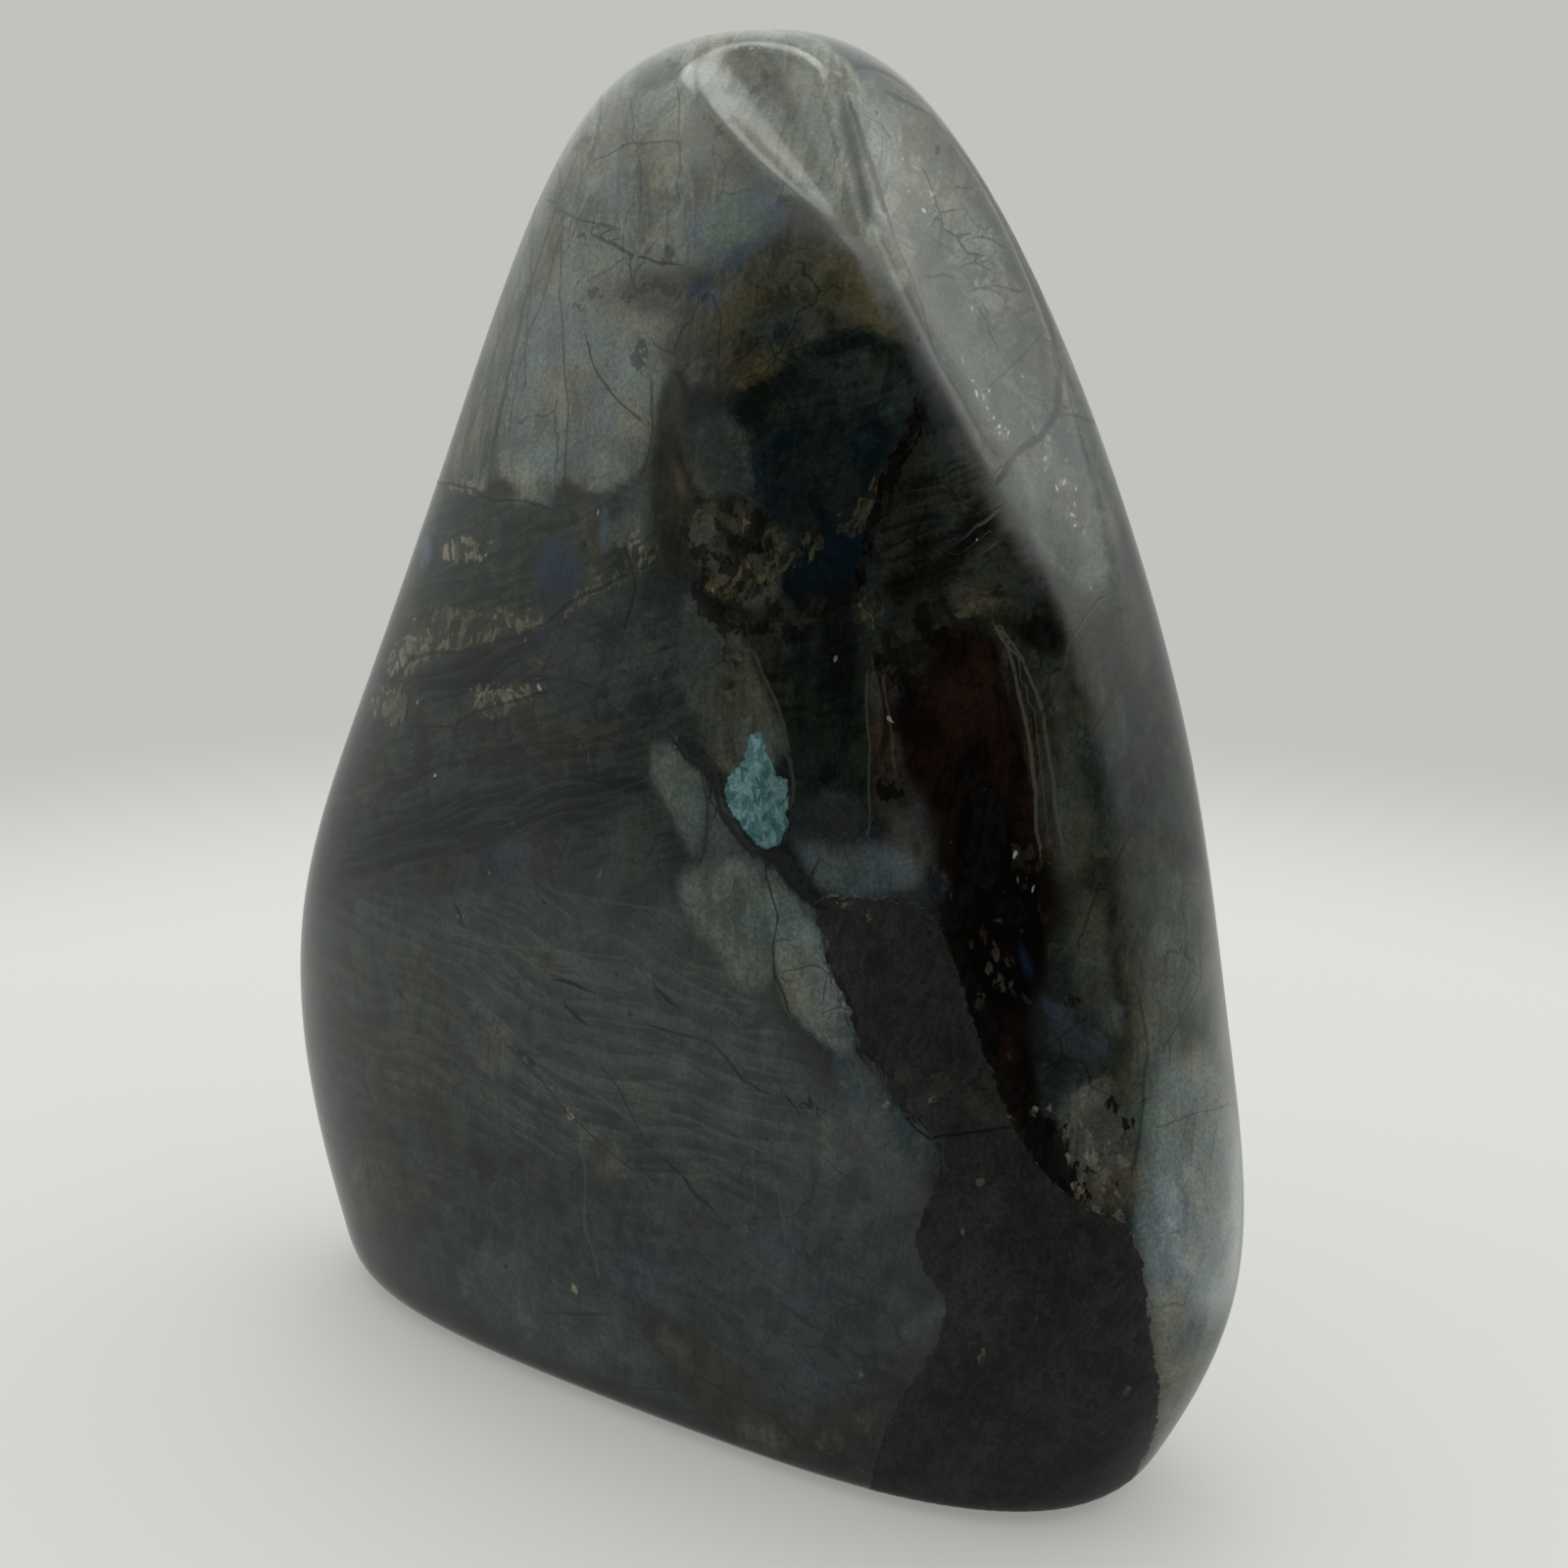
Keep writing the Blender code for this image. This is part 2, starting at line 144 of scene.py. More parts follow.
# The minerals, a row for each, with the values of these four layers. The ground and the accent are linear
# colours. The accent shows as fibre: streaks that fall, rise or stand upright in the picture. Scatter is how
# many light flakes, some of them painted glints, and dark pits there are, and how mottled the accent is.
PAINT_LAYERS = ("ground", "accent", "fibre", "scatter")
PAINTS = {
    "body": ((0.010, 0.012, 0.010), (0.018, 0.023, 0.020), (0.5, 0.2, 0.1), (0.00, 0.3, 0.8)),
    "pale feldspar": ((0.172, 0.184, 0.152), (0.086, 0.098, 0.080), (0.0, 0.0, 0.7), (0.00, 0.3, 0.7)),
    "cool feldspar": ((0.126, 0.144, 0.126), (0.172, 0.186, 0.162), (0.0, 0.0, 0.8), (0.00, 0.2, 0.6)),
    "beige feldspar": ((0.205, 0.208, 0.174), (0.150, 0.154, 0.122), (0.0, 0.0, 0.4), (0.00, 0.3, 0.8)),
    "white feldspar": ((0.180, 0.204, 0.182), (0.130, 0.150, 0.132), (0.0, 0.0, 0.5), (0.00, 0.1, 0.6)),
    "rim feldspar": ((0.104, 0.112, 0.088), (0.058, 0.066, 0.046), (0.0, 0.0, 0.9), (0.00, 0.2, 0.4)),
    "stippled feldspar": ((0.150, 0.156, 0.124), (0.050, 0.052, 0.040), (0.0, 0.0, 0.2), (0.05, 0.8, 0.9)),
    "warm grey": ((0.034, 0.036, 0.031), (0.084, 0.082, 0.064), (0.0, 0.1, 0.5), (0.00, 0.4, 0.9)),
    "light grey green": ((0.070, 0.078, 0.060), (0.040, 0.048, 0.036), (0.1, 0.0, 0.5), (0.00, 0.2, 0.8)),
    "facet": ((0.090, 0.103, 0.082), (0.044, 0.054, 0.041), (0.0, 0.0, 0.3), (0.03, 0.8, 0.9)),
    # Facet colour with light flakes all through it, as painted glints
    "facet with painted glints": ((0.110, 0.122, 0.100), (0.052, 0.062, 0.048), (0.0, 0.0, 0.3), (1.0, 0.5, 0.9)),
    "grey green": ((0.034, 0.040, 0.031), (0.014, 0.017, 0.013), (0.1, 0.0, 0.4), (0.00, 0.2, 0.9)),
    "flank grey": ((0.034, 0.045, 0.033), (0.011, 0.018, 0.014), (0.0, 0.8, 0.1), (0.01, 0.2, 0.7)),
    "dusk fibre": ((0.006, 0.009, 0.008), (0.028, 0.034, 0.028), (0.0, 0.5, 0.1), (0.01, 0.3, 0.75)),
    "mid grey": ((0.010, 0.017, 0.017), (0.032, 0.040, 0.036), (0.1, 0.5, 0.1), (0.00, 0.3, 0.8)),
    "dusk slab": ((0.001, 0.005, 0.006), (0.016, 0.024, 0.023), (0.0, 0.9, 0.0), (0.00, 0.2, 0.2)),
    "haze": ((0.012, 0.020, 0.019), (0.044, 0.057, 0.054), (0.72, 0.0, 0.1), (0.00, 0.7, 0.5)),
    "warm haze": ((0.014, 0.018, 0.014), (0.039, 0.045, 0.036), (0.5, 0.0, 0.1), (0.00, 0.6, 0.7)),
    "still haze": ((0.008, 0.015, 0.017), (0.028, 0.038, 0.040), (0.4, 0.0, 0.3), (0.00, 0.3, 0.8)),
    "foot haze": ((0.026, 0.040, 0.041), (0.055, 0.068, 0.066), (0.0, 0.0, 0.3), (0.00, 0.3, 0.8)),
    "mist": ((0.104, 0.122, 0.106), (0.066, 0.080, 0.068), (0.0, 0.0, 0.5), (0.00, 0.2, 0.7)),
    "column": ((0.042, 0.048, 0.040), (0.072, 0.078, 0.066), (0.0, 0.0, 0.4), (0.00, 0.3, 0.9)),
    "blue white": ((0.140, 0.166, 0.170), (0.092, 0.112, 0.108), (0.0, 0.0, 0.3), (0.00, 0.1, 0.8)),
    "bright blue white": ((0.165, 0.188, 0.186), (0.235, 0.260, 0.255), (0.0, 0.0, 0.9), (0.00, 0.0, 0.3)),
    "blue grey": ((0.034, 0.040, 0.052), (0.010, 0.011, 0.014), (0.0, 0.0, 0.4), (0.00, 0.2, 0.9)),
    "olive": ((0.022, 0.023, 0.015), (0.056, 0.054, 0.036), (0.0, 0.2, 0.3), (0.00, 0.4, 0.9)),
    "tan": ((0.098, 0.088, 0.051), (0.044, 0.040, 0.021), (0.0, 0.0, 0.2), (0.00, 0.2, 0.8)),
    "dark olive": ((0.006, 0.006, 0.003), (0.022, 0.021, 0.013), (0.0, 0.0, 0.4), (0.00, 0.4, 0.9)),
    "speckled olive": ((0.006, 0.006, 0.004), (0.050, 0.047, 0.033), (0.0, 0.0, 0.2), (0.01, 0.8, 1.0)),
    "dark green": ((0.003, 0.006, 0.005), (0.013, 0.018, 0.014), (0.0, 0.2, 0.1), (0.00, 0.3, 0.9)),
    "dark rock": ((0.005, 0.006, 0.004), (0.019, 0.020, 0.015), (0.0, 0.6, 0.1), (0.00, 0.4, 0.9)),
    # The blues from navy to sky blue, and pale green, are the stone's flash: a sheen off layers inside it,
    # painted as fixed colour
    "navy": ((0.002, 0.006, 0.008), (0.011, 0.016, 0.017), (0.0, 0.2, 0.1), (0.00, 0.2, 0.7)),
    "dim blue": ((0.003, 0.011, 0.020), (0.001, 0.005, 0.008), (0.0, 0.0, 0.2), (0.00, 0.2, 0.9)),
    "deep blue": ((0.009, 0.026, 0.078), (0.016, 0.030, 0.046), (0.0, 0.0, 0.5), (0.00, 0.5, 0.8)),
    "sky blue": ((0.060, 0.105, 0.180), (0.070, 0.094, 0.110), (0.0, 0.0, 0.5), (0.00, 0.2, 0.8)),
    "pale green": ((0.115, 0.150, 0.110), (0.075, 0.120, 0.110), (0.0, 0.0, 0.3), (0.00, 0.2, 0.9)),
    "rust": ((0.0100, 0.0046, 0.0030), (0.0026, 0.0013, 0.0010), (0.0, 0.0, 0.4), (0.00, 0.2, 1.0)),
    "bright rust": ((0.0150, 0.0072, 0.0046), (0.0050, 0.0026, 0.0018), (0.0, 0.0, 0.2), (0.00, 0.2, 1.0)),
    "foot rock": ((0.008, 0.009, 0.008), (0.022, 0.023, 0.021), (0.0, 0.0, 0.1), (0.00, 0.4, 1.0)),
    "salmon": ((0.034, 0.029, 0.023), (0.015, 0.010, 0.007), (0.0, 0.0, 0.9), (0.00, 0.1, 0.7)),
    "rusty black": ((0.0008, 0.0006, 0.0006), (0.0040, 0.0020, 0.0012), (0.0, 0.0, 0.2), (0.020, 0.2, 0.5)),
    "mottle": ((0.100, 0.094, 0.074), (0.014, 0.012, 0.010), (0.0, 0.0, 0.1), (0.05, 0.6, 1.0)),
    "crumble": ((0.026, 0.026, 0.024), (0.080, 0.080, 0.076), (0.0, 0.0, 0.1), (0.03, 0.8, 1.0)),
}

# Soft marks on the side that the photograph shows, painted one over another: name, paint,
# edge and raggedness in millimetres, strength, and the outline in pixels.
SHOWN_MARKS = (
    ("haze of the lower left", "haze", 5.0, 2.5, 1.0,
     ((340, 905), (480, 915), (600, 900), (700, 930), (790, 1040), (870, 1180), (840, 1230), (720, 1240),
      (560, 1200), (420, 1120), (330, 1010))),
    ("warm haze by the left edge", "warm haze", 6.0, 2.5, 0.9,
     ((300, 960), (390, 940), (480, 1000), (520, 1120), (480, 1180), (420, 1260), (330, 1240), (300, 1100))),
    ("still haze below", "still haze", 5.0, 2.5, 1.0,
     ((420, 1200), (560, 1190), (720, 1240), (880, 1190), (950, 1180), (940, 1290), (950, 1400), (860, 1460),
      (700, 1440), (560, 1380), (430, 1320))),
    ("blue haze by the dark patch", "foot haze", 4.0, 2.0, 0.55,
     ((820, 1130), (880, 1120), (950, 1190), (925, 1240), (860, 1260), (800, 1220))),
    ("haze above the foot", "foot haze", 2.5, 2.0, 0.8,
     ((470, 1285), (520, 1262), (560, 1290), (600, 1330), (640, 1352), (650, 1392), (600, 1396), (520, 1362),
      (450, 1322))),
    ("light lobe above the foot", "foot haze", 1.5, 1.5, 0.45,
     ((590, 1344), (625, 1346), (648, 1384), (600, 1392))),
    ("panel", "foot haze", 0.8, 0.5, 0.22,
     ((742, 1326), (806, 1320), (812, 1268), (806, 1210), (740, 1240), (736, 1290))),
    ("second panel", "foot haze", 0.8, 0.6, 0.20,
     ((650, 1200), (735, 1215), (735, 1280), (690, 1290), (655, 1260))),
    ("third panel", "foot haze", 0.8, 0.6, 0.20, ((726, 1330), (800, 1330), (784, 1370), (730, 1376))),
    ("flank of the left", "flank grey", 3.0, 1.5, 1.0,
     ((400, 500), (520, 505), (660, 500), (680, 560), (640, 615), (560, 630), (440, 640), (370, 640))),
    ("middle grey under the pale part", "mid grey", 4.0, 2.5, 1.0,
     ((560, 600), (640, 600), (720, 640), (740, 740), (690, 790), (600, 760), (540, 700))),
    ("dusk of the left middle", "dusk fibre", 3.0, 2.5, 1.0,
     ((390, 650), (560, 650), (600, 730), (690, 770), (720, 860), (640, 900), (500, 890), (330, 910),
      (335, 800))),
    ("lower fibre", "mid grey", 5.0, 2.5, 0.8, ((600, 740), (690, 770), (730, 900), (690, 950), (600, 920))),
    ("dark slab", "dusk slab", 1.6, 1.6, 1.0,
     ((360, 850), (440, 822), (520, 802), (600, 790), (664, 784), (672, 816), (600, 840), (500, 862),
      (400, 890), (340, 900))),
    ("upper dark slab", "dusk slab", 1.2, 1.6, 0.9,
     ((420, 700), (450, 672), (540, 664), (552, 690), (500, 704), (440, 720))),
    ("block of the left edge", "flank grey", 0.7, 0.8, 0.9,
     ((388, 742), (420, 736), (424, 766), (412, 782), (392, 778))),
    ("fibre over the gold", "flank grey", 1.0, 1.2, 0.9,
     ((424, 590), (520, 576), (536, 606), (500, 622), (424, 628))),
    ("grey green shoulder", "grey green", 3.0, 1.5, 0.9,
     ((1060, 560), (1150, 560), (1200, 700), (1240, 860), (1150, 900), (1110, 780), (1090, 660))),
    ("right side", "light grey green", 5.0, 2.5, 1.0,
     ((1150, 930), (1210, 860), (1300, 1000), (1300, 1300), (1280, 1400), (1200, 1450), (1170, 1320),
      (1150, 1180), (1150, 1030))),
    ("between rust and right side", "grey green", 3.0, 2.0, 1.0,
     ((1080, 690), (1150, 700), (1190, 900), (1160, 1050), (1120, 1030), (1090, 900))),
    ("facets of the shoulder", "facet", 1.2, 0.4, 0.85,
     ((862, 70), (940, 90), (1010, 170), (1080, 330), (1130, 440), (1150, 600), (1090, 605), (1020, 500),
      (960, 380), (900, 220))),
    ("shade round the facet", "grey green", 1.4, 0.5, 0.6,
     ((866, 98), (900, 88), (950, 116), (1000, 176), (1050, 258), (1082, 340), (1074, 352), (1036, 282),
      (986, 204), (938, 144), (890, 116))),
    # Painted glints on the facets and by the crease, where they sparkle
    ("glints of the facet", "facet with painted glints", 1.5, 1.0, 1.0,
     ((914, 140), (932, 148), (950, 176), (964, 208), (956, 236), (942, 218), (928, 188))),
    ("glints by the crease", "facet with painted glints", 1.2, 1.0, 1.0,
     ((986, 384), (1004, 396), (1030, 436), (1024, 456), (1006, 436))),
    ("glints of the lower facet", "facet with painted glints", 1.5, 1.0, 0.8,
     ((1058, 436), (1072, 440), (1100, 500), (1112, 560), (1096, 556), (1078, 500))),
    ("dark pits of the facet", "stippled feldspar", 2.0, 1.4, 0.55,
     ((956, 196), (990, 180), (1030, 270), (1044, 330), (1000, 350), (972, 290))),
    ("upper facet's top", "beige feldspar", 6.0, 1.5, 0.5,
     ((870, 90), (940, 110), (1000, 190), (960, 230), (905, 200))),
    ("pale feldspar", "pale feldspar", 0.9, 1.4, 1.0,
     ((686, 20), (600, 60), (500, 200), (440, 380), (400, 500), (450, 492), (466, 478), (478, 500),
      (494, 508), (500, 488), (514, 482), (530, 496), (538, 514), (556, 516), (566, 500), (580, 486),
      (596, 504), (618, 506), (640, 492), (658, 474), (664, 440), (667, 396), (684, 366), (696, 336),
      (712, 306), (728, 276), (752, 244), (784, 214), (812, 196), (838, 204), (864, 232), (890, 262),
      (920, 300), (940, 262), (900, 120), (850, 40), (760, 15))),
    ("dark seam of the pale part", "dark olive", 0.8, 0.8, 0.5,
     ((496, 430), (504, 424), (508, 470), (508, 520), (496, 520))),
    ("grey slab under the pale part", "column", 0.8, 0.8, 0.75,
     ((634, 500), (650, 490), (664, 470), (668, 520), (664, 560), (644, 566), (640, 530))),
    ("beige round the blue", "tan", 0.8, 0.9, 0.4,
     ((590, 524), (610, 520), (622, 560), (616, 602), (598, 608), (600, 566))),
    ("beige of the crown", "beige feldspar", 5.0, 2.5, 0.5,
     ((610, 100), (690, 70), (730, 110), (740, 150), (720, 180), (690, 196), (630, 196), (590, 160))),
    ("crown scoop", "rim feldspar", 2.0, 1.0, 0.6, ((750, 84), (800, 60), (840, 76), (860, 210), (806, 150))),
    ("dusk under the ridge", "warm grey", 6.0, 2.5, 0.75,
     ((690, 340), (706, 290), (760, 236), (800, 216), (836, 220), (870, 250), (900, 300), (890, 350),
      (780, 340))),
    ("grey along the crest", "column", 2.5, 1.6, 0.6,
     ((838, 226), (862, 226), (896, 270), (930, 330), (914, 340), (876, 276))),
    ("dim feldspar beside the ridge", "warm grey", 4.0, 2.0, 0.8,
     ((700, 120), (724, 100), (770, 136), (806, 176), (812, 200), (760, 208), (720, 196))),
    # Painted light: white feldspar laid where the side of the scoop is lit, toward the ridge beside it
    ("painted light on the scoop's side", "white feldspar", 2.0, 0.8, 0.5,
     ((806, 56), (838, 62), (850, 110), (864, 200), (846, 186), (822, 140))),
    ("dim ground of the left ridge", "rim feldspar", 2.0, 0.8, 0.7,
     ((700, 74), (730, 74), (786, 120), (846, 186), (876, 236), (846, 226), (770, 156), (716, 104))),
    ("stipple under the crown", "stippled feldspar", 2.5, 2.0, 0.55,
     ((640, 168), (705, 168), (765, 172), (790, 190), (730, 212), (700, 205), (640, 200))),
    ("grey of the middle", "cool feldspar", 5.0, 3.0, 0.85,
     ((540, 270), (620, 250), (690, 280), (675, 400), (650, 480), (540, 490), (510, 420))),
    ("darker left rim", "rim feldspar", 2.5, 1.2, 0.85,
     ((400, 500), (440, 380), (500, 240), (560, 160), (590, 170), (566, 260), (530, 340), (508, 420),
      (500, 500))),
    ("light stripe", "white feldspar", 1.0, 0.8, 0.6,
     ((536, 296), (556, 292), (558, 380), (552, 470), (530, 480), (536, 380))),
    ("white lobe by the edge", "white feldspar", 0.8, 1.0, 0.7,
     ((514, 430), (544, 416), (566, 450), (560, 488), (530, 494), (512, 480))),
    ("pale lobe", "white feldspar", 0.9, 1.2, 0.45,
     ((596, 330), (628, 350), (660, 370), (664, 430), (650, 486), (610, 496), (592, 460), (604, 400))),
    ("white patch", "white feldspar", 1.2, 1.0, 0.7, ((640, 92), (700, 92), (700, 146), (650, 146))),
    ("cool patch", "white feldspar", 1.0, 1.2, 0.5,
     ((606, 172), (640, 160), (652, 186), (640, 214), (612, 206))),
    ("olive stain under the rim", "olive", 1.2, 1.0, 0.65, ((652, 66), (700, 62), (692, 84), (640, 92))),
    ("olive patch in the scoop", "warm grey", 0.7, 0.9, 0.95,
     ((728, 50), (770, 42), (796, 62), (813, 98), (808, 112), (782, 100), (755, 84))),
    ("grey of the narrow valley", "grey green", 0.9, 0.4, 0.9,
     ((852, 92), (862, 96), (876, 150), (892, 222), (882, 226), (862, 150))),
    ("blue flush", "sky blue", 2.6, 2.0, 0.6,
     ((696, 225), (720, 205), (790, 196), (806, 225), (770, 262), (735, 282), (700, 260))),
    ("green flush", "pale green", 2.0, 1.6, 0.8,
     ((716, 218), (744, 196), (780, 206), (776, 236), (744, 252), (720, 240))),
    ("grey under the blots", "mid grey", 2.4, 2.0, 0.75,
     ((630, 286), (690, 270), (740, 296), (726, 340), (680, 330), (646, 312))),
    ("dusk beside the flush", "warm grey", 2.0, 1.6, 0.85,
     ((690, 300), (730, 270), (760, 280), (764, 340), (740, 390), (700, 400), (676, 370))),
    ("olive ground", "olive", 3.2, 2.2, 1.0,
     ((744, 300), (764, 280), (790, 262), (826, 240), (856, 248), (884, 276), (912, 316), (930, 348),
      (900, 356), (850, 350), (800, 362), (760, 384), (742, 404), (725, 392), (716, 352), (724, 316))),
    ("grey under the flush", "mid grey", 1.5, 1.4, 0.9,
     ((748, 320), (790, 310), (830, 322), (800, 350), (760, 366))),
    ("dark spot in the olive", "dark olive", 1.2, 1.8, 0.6,
     ((772, 290), (796, 284), (812, 300), (800, 330), (780, 316))),
    ("second dark spot", "dark olive", 1.4, 1.8, 0.6,
     ((826, 322), (870, 316), (900, 336), (870, 350), (840, 342))),
    ("tan wedge", "tan", 1.2, 0.9, 1.0,
     ((820, 300), (830, 272), (850, 252), (872, 262), (884, 288), (862, 306), (832, 312))),
    ("tan wedge's second half", "tan", 1.4, 0.9, 0.45,
     ((856, 300), (884, 286), (918, 322), (908, 338), (872, 326))),
    ("tan sliver", "tan", 0.8, 0.8, 0.7,
     ((746, 398), (756, 378), (790, 356), (802, 362), (792, 376), (764, 390))),
    ("dark green under the olive", "dark green", 1.2, 2.4, 1.0,
     ((742, 404), (790, 376), (830, 354), (880, 350), (936, 352), (975, 420), (940, 470), (900, 450),
      (850, 450), (790, 440), (748, 430))),
    ("grey in the dark green", "mid grey", 3.0, 2.4, 0.6,
     ((786, 384), (850, 362), (920, 376), (930, 426), (880, 440), (796, 432))),
    ("green spot", "mid grey", 1.2, 1.0, 0.9, ((856, 362), (885, 358), (896, 384), (880, 402), (856, 392))),
    ("brown strip", "dark olive", 1.4, 2.0, 0.9,
     ((668, 385), (702, 360), (708, 420), (706, 520), (700, 600), (680, 570), (664, 500), (662, 440))),
    ("tan in the brown strip", "tan", 0.7, 0.7, 0.5,
     ((678, 466), (692, 462), (706, 500), (700, 518), (686, 502))),
    ("second tan in the strip", "tan", 0.7, 0.7, 0.35,
     ((682, 392), (694, 384), (700, 440), (690, 452), (682, 430))),
    ("teal grey ripples", "column", 1.0, 2.0, 0.55,
     ((702, 438), (730, 426), (756, 432), (764, 470), (762, 500), (730, 510), (704, 498), (698, 464))),
    ("navy ground", "navy", 1.4, 1.6, 1.0,
     ((762, 440), (800, 430), (860, 428), (906, 436), (912, 470), (890, 510), (850, 540), (790, 550),
      (768, 510))),
    ("speckled grey", "speckled olive", 1.0, 1.6, 1.0,
     ((700, 510), (740, 496), (776, 506), (800, 540), (800, 590), (770, 620), (735, 620), (708, 570))),
    ("light mottle", "column", 0.9, 1.4, 0.8,
     ((704, 528), (724, 520), (740, 540), (752, 580), (744, 606), (724, 590), (706, 560))),
    ("dark grey beside the crest", "dark rock", 1.6, 1.6, 1.0,
     ((920, 440), (975, 430), (1020, 500), (1070, 580), (1100, 640), (1040, 640), (960, 636), (900, 630),
      (890, 560), (905, 480))),
    ("lighter grey beside the crest", "mid grey", 1.6, 1.5, 0.25,
     ((940, 440), (978, 444), (1030, 520), (1090, 616), (1010, 610), (960, 560))),
    ("dark band beside the crest", "rusty black", 0.6, 0.9, 0.7,
     ((900, 594), (950, 578), (1012, 518), (1020, 530), (962, 592), (904, 608))),
    ("second dark band", "rusty black", 0.5, 0.9, 0.6,
     ((930, 554), (975, 538), (1006, 502), (1012, 512), (976, 552), (934, 566))),
    ("blue ground", "dim blue", 1.2, 1.2, 0.9,
     ((800, 560), (850, 536), (888, 540), (880, 600), (850, 618), (808, 612), (792, 590))),
    ("dark ground under the blue", "dark rock", 1.4, 1.4, 0.95,
     ((742, 622), (800, 608), (866, 612), (880, 650), (900, 690), (890, 790), (830, 800), (800, 760),
      (770, 700), (752, 660))),
    ("dark green with specks", "dark green", 1.6, 1.4, 0.9,
     ((800, 700), (870, 700), (890, 760), (892, 850), (822, 852), (812, 790))),
    ("near black over it", "dark green", 2.0, 2.4, 0.8,
     ((812, 640), (850, 626), (880, 640), (894, 690), (878, 730), (890, 770), (856, 806), (824, 790),
      (838, 740), (806, 700))),
    ("black in it", "rusty black", 1.4, 2.0, 0.6,
     ((836, 650), (872, 640), (884, 700), (862, 750), (850, 700))),
    ("grey column", "column", 1.6, 1.6, 0.95,
     ((700, 590), (735, 640), (762, 668), (786, 720), (800, 780), (770, 776), (738, 790), (706, 760),
      (686, 680))),
    ("brown grey beside the rust", "column", 3.0, 2.4, 0.5,
     ((896, 660), (940, 636), (962, 700), (962, 800), (960, 880), (944, 912), (916, 900), (906, 780))),
    ("brown grey right of the rust", "column", 3.0, 2.4, 0.5,
     ((1050, 690), (1084, 690), (1104, 780), (1112, 880), (1088, 900), (1070, 800))),
    ("rust", "rust", 3.0, 3.0, 1.0,
     ((916, 740), (920, 694), (936, 664), (966, 640), (990, 634), (1020, 650), (1040, 700), (1052, 760),
      (1064, 820), (1070, 880), (1084, 920), (1086, 950), (1068, 1010), (1056, 1050), (1052, 1100),
      (1060, 1150), (1040, 1160), (1012, 1110), (990, 1050), (966, 985), (946, 925), (960, 870), (950, 810),
      (926, 780))),
    ("bright rust", "bright rust", 3.0, 2.4, 0.9,
     ((922, 690), (960, 652), (1000, 650), (1034, 700), (1010, 760), (960, 770), (930, 740))),
    ("brown beside the black", "bright rust", 2.0, 1.6, 0.5,
     ((1014, 770), (1040, 780), (1066, 860), (1056, 880), (1030, 840))),
    ("grey stripe left of the rust", "salmon", 1.2, 0.9, 1.0,
     ((882, 664), (900, 662), (914, 720), (926, 800), (938, 880), (936, 908), (912, 908), (896, 850),
      (886, 770))),
    ("light end of the stripe", "column", 2.0, 0.9, 0.6,
     ((900, 826), (924, 820), (938, 880), (936, 908), (912, 908))),
    ("first light stripe", "salmon", 0.8, 0.6, 1.0,
     ((1014, 642), (1028, 640), (1048, 700), (1064, 760), (1076, 830), (1080, 880), (1068, 880), (1058, 820),
      (1042, 760), (1026, 700))),
    ("second light stripe", "salmon", 0.8, 0.6, 0.8,
     ((1040, 640), (1054, 642), (1074, 720), (1088, 790), (1080, 800), (1062, 730))),
    ("dark wine", "rusty black", 1.4, 1.6, 0.7, ((900, 700), (960, 720), (980, 770), (930, 760), (900, 740))),
    ("shadowed top of the rust", "dark olive", 1.4, 2.4, 1.0,
     ((884, 630), (950, 626), (1000, 620), (1100, 622), (1096, 690), (1064, 668), (1036, 676), (1010, 644),
      (978, 640), (956, 668), (936, 706), (914, 690), (890, 664))),
    ("darkest of it", "rusty black", 1.0, 1.8, 0.7,
     ((1024, 636), (1060, 628), (1090, 640), (1084, 668), (1050, 664))),
    ("grey of the rust's top", "warm grey", 1.4, 1.6, 0.45,
     ((960, 602), (1020, 600), (1066, 612), (1030, 626), (980, 628))),
    ("black with specks", "rusty black", 1.0, 2.0, 1.0,
     ((978, 790), (1000, 766), (1016, 800), (1030, 850), (1052, 880), (1066, 920), (1072, 965), (1066, 1010),
      (1050, 1030), (1030, 1046), (1008, 1030), (986, 990), (970, 940), (968, 900), (976, 850))),
    ("wine under the black", "rust", 1.2, 1.4, 0.9,
     ((980, 1000), (1010, 1030), (1050, 1060), (1064, 1130), (1030, 1130), (1000, 1080))),
    ("olive right of the rust", "column", 2.2, 1.8, 0.6,
     ((1096, 900), (1120, 910), (1136, 990), (1140, 1060), (1130, 1090), (1080, 1080), (1074, 1040),
      (1090, 1000))),
    ("light grey patch", "mist", 0.8, 1.1, 0.95,
     ((660, 768), (680, 752), (700, 772), (716, 790), (724, 830), (716, 872), (700, 880), (690, 840),
      (664, 806))),
    ("grey under the flash", "column", 1.2, 1.4, 0.9,
     ((722, 800), (740, 830), (762, 860), (780, 878), (770, 900), (716, 900), (716, 850))),
    ("grey below the light patch", "mist", 1.6, 1.6, 1.0,
     ((690, 880), (760, 868), (790, 900), (800, 960), (790, 1010), (750, 1010), (720, 960), (690, 925))),
    ("grey right of the flash", "mid grey", 1.2, 1.2, 0.9,
     ((806, 820), (880, 800), (892, 856), (822, 866), (806, 860))),
    ("rounded grey patch", "blue white", 1.8, 1.4, 0.45,
     ((804, 856), (840, 850), (890, 860), (934, 868), (946, 896), (928, 914), (850, 916), (816, 898))),
    ("upper rounded patch", "blue grey", 1.6, 1.0, 0.5,
     ((804, 822), (870, 816), (892, 840), (884, 862), (830, 864), (806, 850))),
    ("blue white band", "mist", 0.6, 0.9, 1.0,
     ((780, 880), (798, 900), (826, 924), (842, 955), (845, 985), (860, 1010), (874, 1040), (872, 1076),
      (846, 1070), (812, 1040), (792, 1000), (788, 940))),
    ("blue of the band", "blue white", 0.9, 0.9, 0.95,
